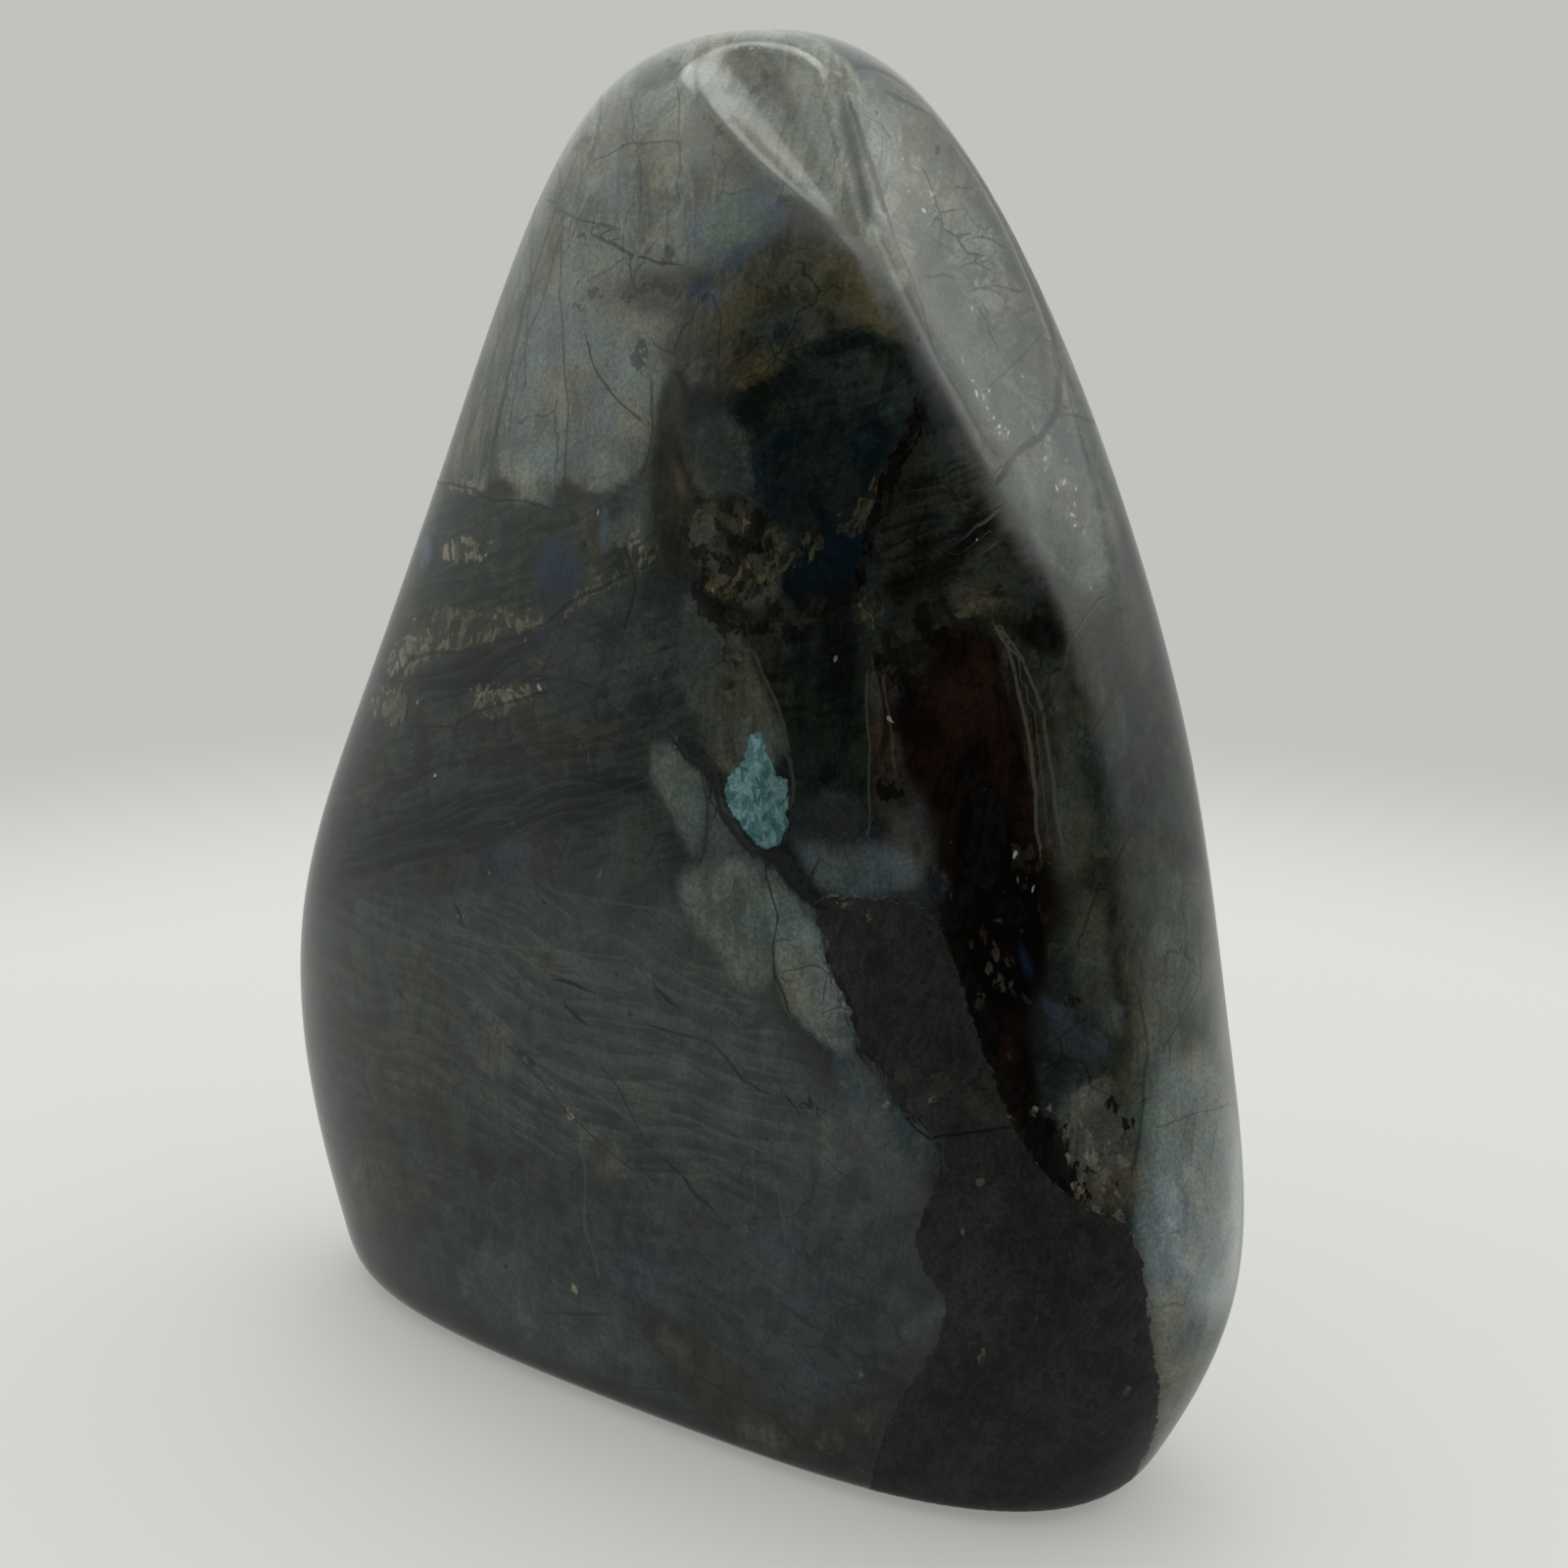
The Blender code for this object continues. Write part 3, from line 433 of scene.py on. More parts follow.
     ((794, 940), (818, 936), (840, 962), (838, 990), (820, 1000), (800, 986))),
    ("light of the band", "white feldspar", 1.6, 1.2, 0.6,
     ((776, 896), (800, 900), (832, 950), (846, 1010), (866, 1056), (850, 1072), (816, 1040), (792, 990))),
    ("blue of the band below", "blue white", 0.8, 0.8, 0.95,
     ((842, 990), (858, 1006), (872, 1044), (866, 1072), (848, 1056), (838, 1020))),
    ("grey ledge under the band", "foot haze", 0.8, 1.0, 1.0,
     ((846, 1078), (880, 1080), (912, 1126), (960, 1166), (958, 1200), (910, 1190), (866, 1150))),
    ("tan ledge", "crumble", 1.0, 1.0, 0.5, ((850, 1062), (900, 1086), (904, 1110), (870, 1096))),
    ("brown corner by the foot", "dark olive", 1.4, 1.6, 0.9,
     ((650, 1340), (700, 1350), (760, 1400), (810, 1450), (840, 1500), (770, 1490), (690, 1420))),
    ("light streaks in the brown corner", "warm grey", 1.0, 2.4, 0.5,
     ((664, 1346), (690, 1352), (716, 1392), (690, 1396), (668, 1376))),
    ("lower light streaks", "warm grey", 1.2, 2.6, 0.45,
     ((748, 1448), (790, 1446), (812, 1482), (790, 1490), (750, 1466))),
    ("green wedge", "mist", 0.8, 1.2, 0.4,
     ((922, 1350), (942, 1334), (964, 1322), (968, 1342), (946, 1366), (924, 1368))),
    ("second green wedge", "mist", 0.8, 1.2, 0.25,
     ((918, 1380), (948, 1366), (962, 1372), (940, 1392), (916, 1396))),
    ("rock by the foot", "foot rock", 5.0, 2.5, 1.0,
     ((830, 1450), (880, 1400), (940, 1376), (980, 1370), (980, 1560), (800, 1560), (810, 1500))),
    ("deep blue patch", "deep blue", 0.9, 1.4, 0.85,
     ((550, 552), (562, 546), (584, 552), (594, 570), (588, 600), (560, 612), (550, 600))),
    ("warm glow under the gold", "tan", 1.6, 1.4, 0.45,
     ((396, 692), (402, 656), (430, 622), (480, 622), (550, 622), (562, 634), (500, 654), (436, 672),
      (414, 694))),
    ("warm glow under the lower gold", "tan", 1.2, 1.4, 0.35,
     ((466, 716), (490, 700), (548, 698), (530, 722), (480, 740))),
    ("dim blue below it", "deep blue", 1.4, 1.2, 0.45,
     ((546, 630), (562, 620), (566, 650), (556, 676), (546, 660))),
    ("green spark", "pale green", 0.6, 0.8, 0.9,
     ((524, 506), (544, 498), (554, 506), (548, 516), (528, 516))),
    ("blue spark", "sky blue", 0.6, 0.8, 0.8, ((548, 506), (566, 504), (564, 518), (550, 519))),
    ("blue sliver", "sky blue", 0.5, 0.5, 0.7, ((612, 518), (620, 520), (622, 556), (614, 562))),
    ("light patch beside the sliver", "cool feldspar", 0.9, 1.2, 0.35,
     ((620, 528), (658, 520), (662, 548), (640, 560), (622, 556))),
    ("blue at the left edge", "sky blue", 0.6, 0.6, 0.7, ((428, 552), (438, 546), (440, 570), (430, 584))),
    ("blue under the specks", "deep blue", 0.9, 0.9, 0.8, ((696, 288), (722, 278), (726, 302), (700, 310))),
    ("light blue beside it", "sky blue", 1.2, 0.9, 0.4, ((706, 296), (736, 290), (732, 312), (704, 316))),
    ("blue specks by the left", "deep blue", 1.6, 1.4, 0.5,
     ((496, 862), (536, 852), (544, 872), (512, 900), (490, 888))),
    ("tan patch below", "warm grey", 0.6, 1.0, 0.75,
     ((478, 1052), (524, 1046), (526, 1080), (508, 1106), (484, 1084))),
    ("olive lozenge", "warm grey", 0.7, 1.0, 0.7,
     ((586, 1150), (622, 1156), (652, 1196), (640, 1204), (596, 1196))),
    ("tan at the left foot", "warm grey", 2.0, 1.6, 0.7,
     ((350, 1190), (390, 1180), (404, 1210), (380, 1245), (350, 1235))),
    ("light olive of the left edge", "warm haze", 2.0, 1.6, 0.9,
     ((310, 1020), (340, 1020), (350, 1100), (320, 1120))),
    ("blue streak", "deep blue", 0.5, 1.2, 0.45,
     ((1036, 962), (1046, 962), (1058, 990), (1050, 1000), (1038, 984))),
    ("light spot by the rust", "blue grey", 1.0, 1.0, 0.9,
     ((944, 880), (962, 888), (970, 906), (956, 924), (944, 904))),
    ("blue grey patch", "blue grey", 1.2, 1.6, 0.6,
     ((1056, 1018), (1084, 1020), (1136, 1050), (1150, 1086), (1130, 1092), (1090, 1066))),
    ("first blue shard", "sky blue", 0.5, 1.0, 0.13,
     ((1062, 1022), (1090, 1028), (1108, 1050), (1076, 1040))),
    ("second blue shard", "sky blue", 0.5, 1.0, 0.2,
     ((1114, 1056), (1124, 1060), (1142, 1086), (1116, 1070))),
    ("light sliver beside them", "blue white", 0.5, 0.8, 0.35,
     ((1136, 1024), (1146, 1030), (1144, 1056), (1136, 1050))),
    ("mottled corner", "warm grey", 1.6, 1.6, 0.9,
     ((1074, 1120), (1130, 1090), (1166, 1150), (1168, 1220), (1130, 1246), (1090, 1216))),
    ("light of the corner", "mottle", 1.6, 1.6, 0.5,
     ((1092, 1150), (1130, 1130), (1162, 1170), (1160, 1230), (1120, 1236))),
    ("pale lower right", "cool feldspar", 4.0, 2.0, 0.8,
     ((1174, 1100), (1250, 1060), (1290, 1300), (1260, 1440), (1190, 1540), (1176, 1440), (1176, 1350),
      (1172, 1240))),
    ("blue white fan", "blue white", 2.0, 1.6, 0.9,
     ((1156, 1236), (1180, 1192), (1216, 1174), (1240, 1220), (1240, 1290), (1216, 1336), (1184, 1306),
      (1164, 1272))),
    ("first rib of the fan", "bright blue white", 1.0, 0.8, 0.6,
     ((1176, 1210), (1192, 1194), (1214, 1240), (1226, 1300), (1210, 1306), (1190, 1262))),
    ("second rib of the fan", "bright blue white", 0.9, 0.8, 0.55,
     ((1204, 1190), (1220, 1186), (1236, 1240), (1234, 1280), (1220, 1250))),
)

# Crisp marks: the material draws their edges from a depth in millimetres. Each layer has two colours, how
# ragged and how broken its edge is in millimetres, and how much its accent follows the flakes.
CRISP_LAYERS = {
    # The cyan layer is the stone's flash, a painted sheen that doesn't change with the view
    "cyan": {"ground": (0.135, 0.240, 0.240), "accent": (0.048, 0.120, 0.135),
             "ragged": 1.4, "broken": 0.3, "flaky": 0.6},
    "tan": {"ground": (0.110, 0.098, 0.054), "accent": (0.016, 0.015, 0.008),
            "ragged": 2.0, "broken": 1.6, "flaky": 0.8},
    "gold": {"ground": (0.220, 0.200, 0.135), "accent": (0.040, 0.039, 0.026),
             "ragged": 1.2, "broken": 1.5, "flaky": 0.9},
    "black": {"ground": (0.0012, 0.0012, 0.0012), "accent": (0.006, 0.005, 0.004),
              "ragged": 1.8, "broken": 0.8, "flaky": 0.7},
    "matte": {"ground": (0.0215, 0.0215, 0.0205), "accent": (0.034, 0.034, 0.033),
              "ragged": 1.4, "broken": 0.35, "flaky": 0.5},
    # The chip layer also carries painted glints and painted highlight strokes
    "chip": {"ground": (0.300, 0.270, 0.200), "accent": (0.070, 0.060, 0.040),
             "ragged": 0.8, "broken": 0.5, "flaky": 0.8},
}
CRISP_MARKS = (
    ("cyan flash", "cyan", 1.0,
     ((738, 802), (746, 785), (760, 779), (764, 748), (778, 746), (782, 770), (790, 786), (806, 800),
      (804, 830), (802, 856), (788, 868), (771, 862), (756, 842), (742, 824))),
    ("tan vein's upper part", "tan", 0.4,
     ((900, 486), (904, 498), (888, 524), (870, 544), (860, 550), (856, 542), (874, 516))),
    ("tan vein's lower part", "tan", 0.4,
     ((850, 544), (842, 556), (806, 582), (776, 602), (756, 604), (792, 570), (826, 550))),
    ("tan spot", "tan", 0.6, ((869, 622), (880, 600), (896, 612), (894, 634), (876, 644))),
    ("gold beside the flank", "gold", 0.75, ((449, 560), (466, 550), (490, 554), (494, 568), (466, 578))),
    ("gold line over the band", "gold", 0.5,
     ((420, 628), (432, 620), (486, 626), (546, 620), (548, 628), (480, 634), (430, 634))),
    ("gold band", "gold", 0.55,
     ((398, 690), (400, 664), (424, 640), (444, 636), (470, 644), (510, 640), (546, 628), (560, 634),
      (520, 650), (470, 660), (436, 668), (416, 690))),
    ("gold corner", "gold", 0.45, ((378, 726), (382, 706), (416, 700), (420, 730), (396, 740))),
    ("lower gold band", "gold", 0.6,
     ((476, 710), (490, 702), (548, 700), (530, 720), (500, 734), (484, 730))),
    ("gold diagonal", "gold", 0.35, ((570, 622), (610, 592), (664, 566), (666, 576), (620, 602), (580, 630))),
    ("beige flake", "gold", 0.6, ((630, 566), (640, 546), (660, 548), (668, 566), (640, 578))),
    ("beige flake by the left edge", "gold", 0.8, ((456, 490), (476, 484), (484, 500), (470, 504))),
    ("grey flakes over the rust", "tan", 0.5, ((970, 606), (1000, 610), (990, 632), (974, 620))),
    ("tan of the crumbled edge", "gold", 0.5, ((832, 918), (880, 916), (886, 930), (840, 934))),
    ("black diagonal", "black", 1.0,
     ((944, 430), (936, 452), (918, 482), (912, 512), (904, 500), (900, 524), (890, 566), (880, 606),
      (872, 602), (880, 560), (890, 520), (900, 480), (914, 456), (928, 430), (946, 384), (958, 392))),
    ("black under the blue", "black", 0.7, ((838, 600), (872, 590), (880, 640), (872, 660), (840, 640))),
    ("black margin", "black", 0.9,
     ((956, 920), (966, 924), (1000, 1000), (1020, 1070), (1040, 1110), (1078, 1150), (1100, 1200),
      (1120, 1230), (1090, 1226), (1052, 1190), (1048, 1150), (1010, 1090), (986, 1030), (966, 960))),
    ("edge under the blue", "black", 0.7, ((796, 596), (812, 600), (836, 620), (832, 630), (806, 616))),
    ("shards under the patch", "black", 0.6, ((1086, 1016), (1100, 1014), (1104, 1026), (1090, 1030))),
    ("dark patch", "matte", 1.0,
     ((829, 917), (860, 914), (900, 918), (937, 921), (949, 936), (972, 974), (988, 1028), (1004, 1076),
      (1018, 1118), (1034, 1150), (1058, 1190), (1090, 1222), (1122, 1240), (1146, 1240), (1165, 1280),
      (1169, 1324), (1177, 1375), (1184, 1417), (1181, 1461), (1155, 1512), (1130, 1560), (880, 1560),
      (890, 1500), (905, 1448), (956, 1372), (969, 1331), (943, 1299), (931, 1264), (947, 1229), (962, 1184),
      (962, 1165), (927, 1142), (908, 1126), (902, 1091), (873, 1068), (870, 1039), (857, 1004), (841, 985),
      (844, 956), (832, 940))),
)

# Small chips and blots: name, layer, strength, and for each chip the middle, width and height in pixels and
# the slope in degrees
SHOWN_SPOTS = (
    ("tan specks of the dark patch", "chip", 0.42,
     ((1000, 1207, 9, 12, 0), (992, 1299, 6, 13, 0), (1002, 1386, 12, 18, 10), (975, 1392, 9, 8, 0),
      (1033, 1372, 6, 9, 0), (1150, 1420, 12, 9, -40), (878, 1400, 7, 7, 0), (1140, 1246, 16, 9, 20),
      (887, 933, 8, 11, 0), (1058, 1346, 4, 9, 0), (983, 1256, 4, 6, 0), (1060, 1398, 10, 6, 0),
      (1028, 1142, 14, 7, 0), (1056, 1134, 8, 12, 0), (862, 922, 16, 7, 0), (905, 1128, 10, 7, 20),
      (948, 1120, 14, 8, 30))),
    ("crumbs of the dark patch", "chip", 0.09,
     ((925, 1098, 26, 20, 10), (960, 1106, 24, 26, -20), (990, 1122, 24, 22, 30), (935, 1128, 22, 16, 0),
      (1008, 1100, 14, 24, 0), (1010, 1140, 26, 14, 0), (848, 1470, 30, 24, 0), (880, 1450, 24, 24, 0))),
    ("pale specks in the black", "chip", 0.14,
     ((1008, 905, 8, 6, 0), (1024, 910, 5, 5, 0), (1020, 942, 9, 5, 0), (1004, 952, 5, 14, 0),
      (1016, 972, 6, 16, 10), (1032, 984, 5, 14, 0), (1008, 990, 7, 18, 0), (1022, 1004, 8, 16, -10),
      (1034, 1010, 6, 10, 0), (1046, 936, 5, 5, 0), (1050, 1020, 12, 8, 0), (1000, 1022, 10, 16, -20),
      (1040, 952, 4, 8, 0), (990, 962, 4, 10, 0), (1028, 962, 4, 6, 0))),
    ("rusty specks", "tan", 0.12,
     ((1012, 874, 16, 7, 20), (1040, 872, 12, 20, 0), (1052, 886, 26, 8, 10), (1044, 900, 14, 6, 0),
      (1060, 866, 8, 6, 0), (1062, 934, 14, 7, 0), (1086, 950, 16, 8, 30), (1074, 968, 8, 14, 0),
      (1092, 970, 10, 10, 0), (1068, 1000, 14, 10, 0), (1006, 1060, 10, 8, 0), (1030, 1078, 14, 8, 0))),
    ("light of the mottled corner", "chip", 0.34,
     ((1112, 1180, 16, 20, 20), (1126, 1200, 20, 12, 0), (1100, 1214, 14, 16, 0), (1134, 1220, 18, 10, 30),
      (1110, 1160, 10, 14, 0), (1146, 1184, 12, 18, 0), (1120, 1232, 18, 8, 0), (1090, 1182, 10, 10, 0),
      (1128, 1170, 10, 8, 0), (1142, 1238, 12, 8, 0), (1098, 1140, 10, 12, 0), (1070, 1130, 8, 10, 0))),
    ("blots round the mottled corner", "black", 0.9,
     ((1060, 1170, 34, 44, 20), (1068, 1200, 30, 34, 0), (1088, 1218, 30, 22, 20), (1116, 1196, 8, 10, 0),
      (1136, 1208, 8, 8, 0), (1104, 1192, 7, 9, 0), (1150, 1150, 16, 12, 0), (1136, 1130, 10, 14, 0),
      (1078, 1154, 14, 14, 0))),
    ("blots over the rust", "black", 0.9,
     ((943, 634, 20, 36, 10), (955, 650, 26, 16, 30), (1066, 646, 34, 26, -10), (924, 694, 34, 18, -10),
      (928, 712, 16, 14, 0), (905, 806, 26, 18, -30), (900, 676, 20, 12, -30), (1012, 834, 36, 60, 0),
      (996, 798, 20, 40, 0), (1000, 880, 40, 50, 0), (984, 920, 30, 46, 0), (1040, 836, 18, 22, 0),
      (1030, 930, 34, 30, 0))),
    ("blots of the pale part", "black", 0.6,
     ((668, 290, 26, 14, 10), (684, 296, 20, 12, -10), (656, 296, 14, 8, 0), (640, 302, 16, 8, 0),
      (608, 300, 14, 7, -20), (590, 312, 10, 7, -20), (716, 302, 26, 8, 10), (652, 366, 12, 26, 10),
      (660, 350, 10, 10, 0), (684, 262, 12, 22, 0), (812, 192, 30, 10, -30), (800, 206, 12, 20, 20),
      (826, 188, 14, 6, 0), (732, 138, 5, 16, 0), (746, 120, 12, 8, 0), (729, 158, 6, 5, 0),
      (780, 80, 8, 22, 0), (774, 92, 12, 8, 0), (684, 66, 18, 8, -40), (600, 142, 12, 8, -20),
      (586, 150, 8, 6, 0), (584, 526, 12, 12, 0), (560, 540, 16, 10, 0), (606, 246, 16, 4, 10),
      (590, 238, 12, 4, 20))),
    ("blots of the mottled olive", "black", 0.75,
     ((718, 572, 14, 36, 0), (708, 560, 10, 20, 0), (742, 575, 18, 20, 20), (768, 560, 20, 16, 0),
      (726, 622, 30, 22, -20), (742, 640, 24, 18, 0), (712, 606, 14, 20, 0), (790, 620, 24, 14, 0),
      (772, 640, 26, 16, 20), (756, 600, 14, 12, 0), (734, 535, 10, 12, 0), (752, 550, 12, 10, 0),
      (716, 510, 14, 12, 0), (700, 540, 10, 24, 0), (812, 646, 26, 18, 0))),
    ("light of the mottled olive", "tan", 0.65,
     ((716, 530, 14, 22, 0), (728, 556, 14, 22, 20), (746, 594, 22, 16, 40), (760, 578, 14, 14, 0),
      (736, 606, 14, 12, 0), (724, 596, 12, 14, 0), (756, 530, 12, 16, 0), (776, 590, 20, 12, 30),
      (752, 674, 14, 22, 10), (746, 702, 16, 16, 0))),
    ("flecks of the left middle", "chip", 0.20,
     ((418, 664, 6, 12, 10), (430, 656, 6, 12, 0), (412, 680, 7, 10, 0), (512, 640, 7, 9, 0),
      (488, 708, 9, 8, 0), (506, 722, 7, 9, 0), (390, 706, 7, 10, 0), (382, 728, 7, 8, 0),
      (556, 756, 8, 6, -30), (440, 784, 8, 6, 0), (522, 838, 12, 7, -10), (572, 838, 8, 7, 0),
      (600, 846, 9, 6, 20), (614, 892, 10, 9, 0), (668, 692, 7, 10, 0), (476, 492, 7, 12, 0),
      (552, 678, 7, 7, 0))),
    # Painted glints, and two strokes of painted highlight along the crown's rim
    ("painted glints and rim highlight", "chip", 0.9,
     ((726, 1064, 6, 8, 0), (581, 1136, 4, 12, 30), (689, 757, 7, 8, 0), (779, 866, 8, 6, 0),
      (748, 48, 14, 4, 0), (770, 50, 10, 3, 10), (586, 1316, 6, 10, 0), (470, 934, 6, 6, 0),
      (500, 552, 5, 5, 0))),
)

# Dark cracks and light veins on the shown side: name, half width in millimetres, strength, and the line in
# pixels
SHOWN_CRACKS = (
    ("beside the flash", 0.34, 0.9, ((690, 756), (704, 776), (730, 786), (736, 829), (758, 860), (781, 874))),
    ("below the flash", 0.60, 0.9, ((771, 872), (796, 878), (803, 894), (816, 908), (836, 924))),
    ("line on the crest", 0.14, 0.55, ((896, 186), (908, 232), (931, 286), (960, 373), (1018, 468))),
    ("line beside the narrow valley", 0.30, 0.7, ((869, 104), (876, 130), (890, 170), (904, 216))),
    ("crease between the facets", 0.45, 0.8,
     ((1020, 487), (1045, 456), (1067, 440), (1080, 420), (1081, 379), (1073, 350))),
    ("branch of the crease", 0.25, 0.6, ((1078, 424), (1096, 424), (1114, 430))),
    ("across the dark patch", 0.18, 0.9, ((927, 1142), (945, 1160), (975, 1160), (1026, 1150))),
    ("left of centre", 0.20, 0.9, ((679, 1181), (700, 1205), (712, 1222), (728, 1234))),
    ("through the haze", 0.12, 0.6, ((518, 1066), (548, 1098), (586, 1140), (636, 1190), (660, 1196))),
    ("second haze line", 0.14, 0.6, ((614, 1090), (630, 1110), (650, 1150), (662, 1170))),
    ("dashes in the haze", 0.18, 0.7, ((670, 1050), (700, 1056), (730, 1066), (760, 1100), (776, 1112))),
    ("line above the lozenge", 0.12, 0.6, ((640, 1180), (656, 1196), (670, 1206))),
    ("first upright", 0.12, 0.5, ((571, 170), (572, 300), (579, 420), (575, 490))),
    ("second upright", 0.14, 0.45, ((692, 88), (694, 150), (692, 204))),
    ("third upright", 0.12, 0.4, ((645, 100), (646, 140), (654, 168), (652, 210))),
    ("fourth upright", 0.12, 0.4, ((546, 190), (541, 300), (533, 400))),
    ("olive line of the rim", 0.22, 0.5, ((614, 96), (610, 140), (600, 164))),
    ("along the left rim", 0.20, 0.5, ((505, 446), (536, 307), (571, 200), (590, 160))),
    ("outer left rim", 0.15, 0.4, ((470, 470), (505, 360), (545, 236))),
    ("third rim line", 0.14, 0.4, ((520, 440), (528, 380), (560, 290), (576, 220))),
    ("bow in the pale part", 0.16, 0.6, ((598, 346), (606, 376), (624, 402), (652, 429))),
    ("right edge of the pale part", 0.18, 0.5, ((664, 390), (666, 440), (658, 486))),
    ("short bow", 0.14, 0.6, ((722, 300), (735, 325), (736, 371))),
    ("crown bow", 0.13, 0.5, ((608, 165), (640, 146), (690, 143))),
    ("over the pale part", 0.16, 0.6, ((560, 205), (590, 222), (624, 232))),
    ("lower line over the pale part", 0.20, 0.7, ((608, 240), (640, 258), (668, 266), (690, 270))),
    ("drop below it", 0.14, 0.6, ((644, 262), (645, 285))),
    ("upper facet", 0.13, 0.6, ((992, 296), (1012, 292), (1043, 298))),
    ("upper facet side", 0.14, 0.6, ((940, 170), (952, 190), (960, 220), (958, 250))),
    ("upper facet low", 0.13, 0.6, ((1014, 392), (1046, 362), (1066, 340))),
    ("through the crest", 0.14, 0.7, ((984, 728), (1010, 706), (1052, 672))),
    ("side of the shoulder", 0.22, 0.8, ((1066, 726), (1084, 690), (1094, 650), (1120, 610))),
    ("beside the crest", 0.24, 0.6, ((890, 572), (930, 566), (975, 556), (1016, 520))),
    ("dark line under it", 0.20, 0.6, ((920, 600), (960, 586), (1010, 560))),
    ("border of the facet", 0.26, 0.6,
     ((905, 92), (950, 118), (990, 165), (1030, 230), (1060, 296), (1076, 350))),
    ("first dash of the facet", 0.16, 0.8, ((964, 232), (976, 240), (986, 238))),
    ("second dash of the facet", 0.16, 0.8, ((978, 246), (988, 258), (1002, 262))),
    ("third dash of the facet", 0.14, 0.7, ((984, 272), (996, 269), (1010, 276))),
    ("fourth dash of the facet", 0.14, 0.7, ((946, 282), (962, 280), (974, 284))),
    ("fifth dash of the facet", 0.14, 0.7, ((998, 240), (1012, 244), (1020, 252))),
    ("sixth dash of the facet", 0.14, 0.7, ((1010, 338), (1018, 354))),
    ("seventh dash of the facet", 0.14, 0.7, ((998, 314), (1006, 326), (1008, 340))),
    ("eighth dash of the facet", 0.16, 0.8, ((954, 224), (962, 216), (974, 214))),
    ("ninth dash of the facet", 0.14, 0.7, ((978, 190), (990, 192))),
    ("first right", 0.16, 0.5, ((1190, 1066), (1226, 1000), (1221, 936))),
    ("second right", 0.14, 0.4, ((1182, 1150), (1222, 1134), (1257, 1128))),
    ("third right", 0.16, 0.5, ((1100, 960), (1120, 900), (1160, 840), (1176, 790))),
    ("fourth right", 0.14, 0.4, ((1196, 860), (1216, 800), (1214, 740))),
    ("fifth right", 0.20, 0.5, ((1156, 1196), (1166, 1130), (1170, 1060), (1160, 1010))),
    ("line across the shoulder", 0.14, 0.5, ((1090, 770), (1120, 736), (1150, 700))),
    ("panel corner", 0.12, 0.25, ((729, 1322), (806, 1320), (812, 1284), (806, 1204))),
    ("left panel edge", 0.12, 0.3, ((700, 1276), (730, 1280), (738, 1230), (730, 1180))),
    ("panel edge", 0.12, 0.25, ((640, 1270), (690, 1278), (742, 1286), (746, 1320))),
    ("dark dash by the foot", 0.20, 0.5, ((560, 1340), (600, 1342), (624, 1340))),
    ("line by the foot", 0.14, 0.5, ((610, 1406), (660, 1418), (690, 1420))),
    ("line in the brown corner", 0.16, 0.6, ((707, 1402), (743, 1421), (786, 1443), (814, 1477))),
    ("under the gold", 0.28, 0.7, ((400, 694), (424, 668), (480, 664), (524, 652), (552, 640))),
    ("under the lower gold", 0.22, 0.7, ((420, 744), (460, 742), (490, 726), (556, 706))),
    ("through the slab", 0.20, 0.6, ((380, 812), (436, 788), (450, 780), (540, 762), (640, 748))),
    ("edge of the slab", 0.20, 0.5, ((340, 828), (400, 816), (430, 794))),
    ("second slab line", 0.20, 0.5, ((350, 880), (430, 856), (520, 836), (600, 820))),
    ("third slab line", 0.16, 0.45, ((470, 786), (560, 772), (660, 760))),
    ("line over the slab", 0.18, 0.5, ((424, 700), (480, 690), (552, 690), (600, 700))),
    ("edge of the pale part", 0.22, 0.7, ((450, 494), (474, 496), (500, 512), (536, 512), (560, 520))),
    ("edge under the tan", 0.26, 0.7, ((560, 632), (600, 604), (640, 590), (668, 576))),
    ("dark line under the blue", 0.22, 0.6, ((640, 560), (650, 600), (640, 640))),
    ("band edge", 0.16, 0.7, ((782, 890), (794, 936), (789, 960), (790, 994), (806, 1030))),
    ("line in the band", 0.12, 0.5, ((800, 990), (826, 986), (846, 990), (838, 1020))),
    ("edge of the blue white", 0.20, 0.6,
     ((842, 955), (846, 985), (860, 1010), (874, 1040), (873, 1068), (900, 1090))),
    ("edge of the light patch", 0.16, 0.6, ((716, 790), (724, 830), (716, 876))),
    ("first dash", 0.25, 0.9, ((572, 1000), (582, 1002), (594, 1008))),
    ("second dash", 0.24, 0.9, ((580, 1028), (592, 1040))),
    ("third dash", 0.20, 0.9, ((464, 922), (472, 940))),
    ("fourth dash", 0.22, 0.8, ((670, 1010), (686, 1024))),
    ("fifth dash", 0.20, 0.8, ((806, 1120), (812, 1128))),
    ("sixth dash", 0.20, 0.8, ((822, 1126), (832, 1134), (826, 1120))),
    ("seventh dash", 0.18, 0.8, ((520, 1066), (530, 1076))),
    ("eighth dash", 0.18, 0.9, ((400, 830), (408, 842))),
    ("ninth dash", 0.20, 0.8, ((408, 1012), (414, 1022))),
    ("tenth dash", 0.18, 0.8, ((534, 1070), (548, 1084))),
)
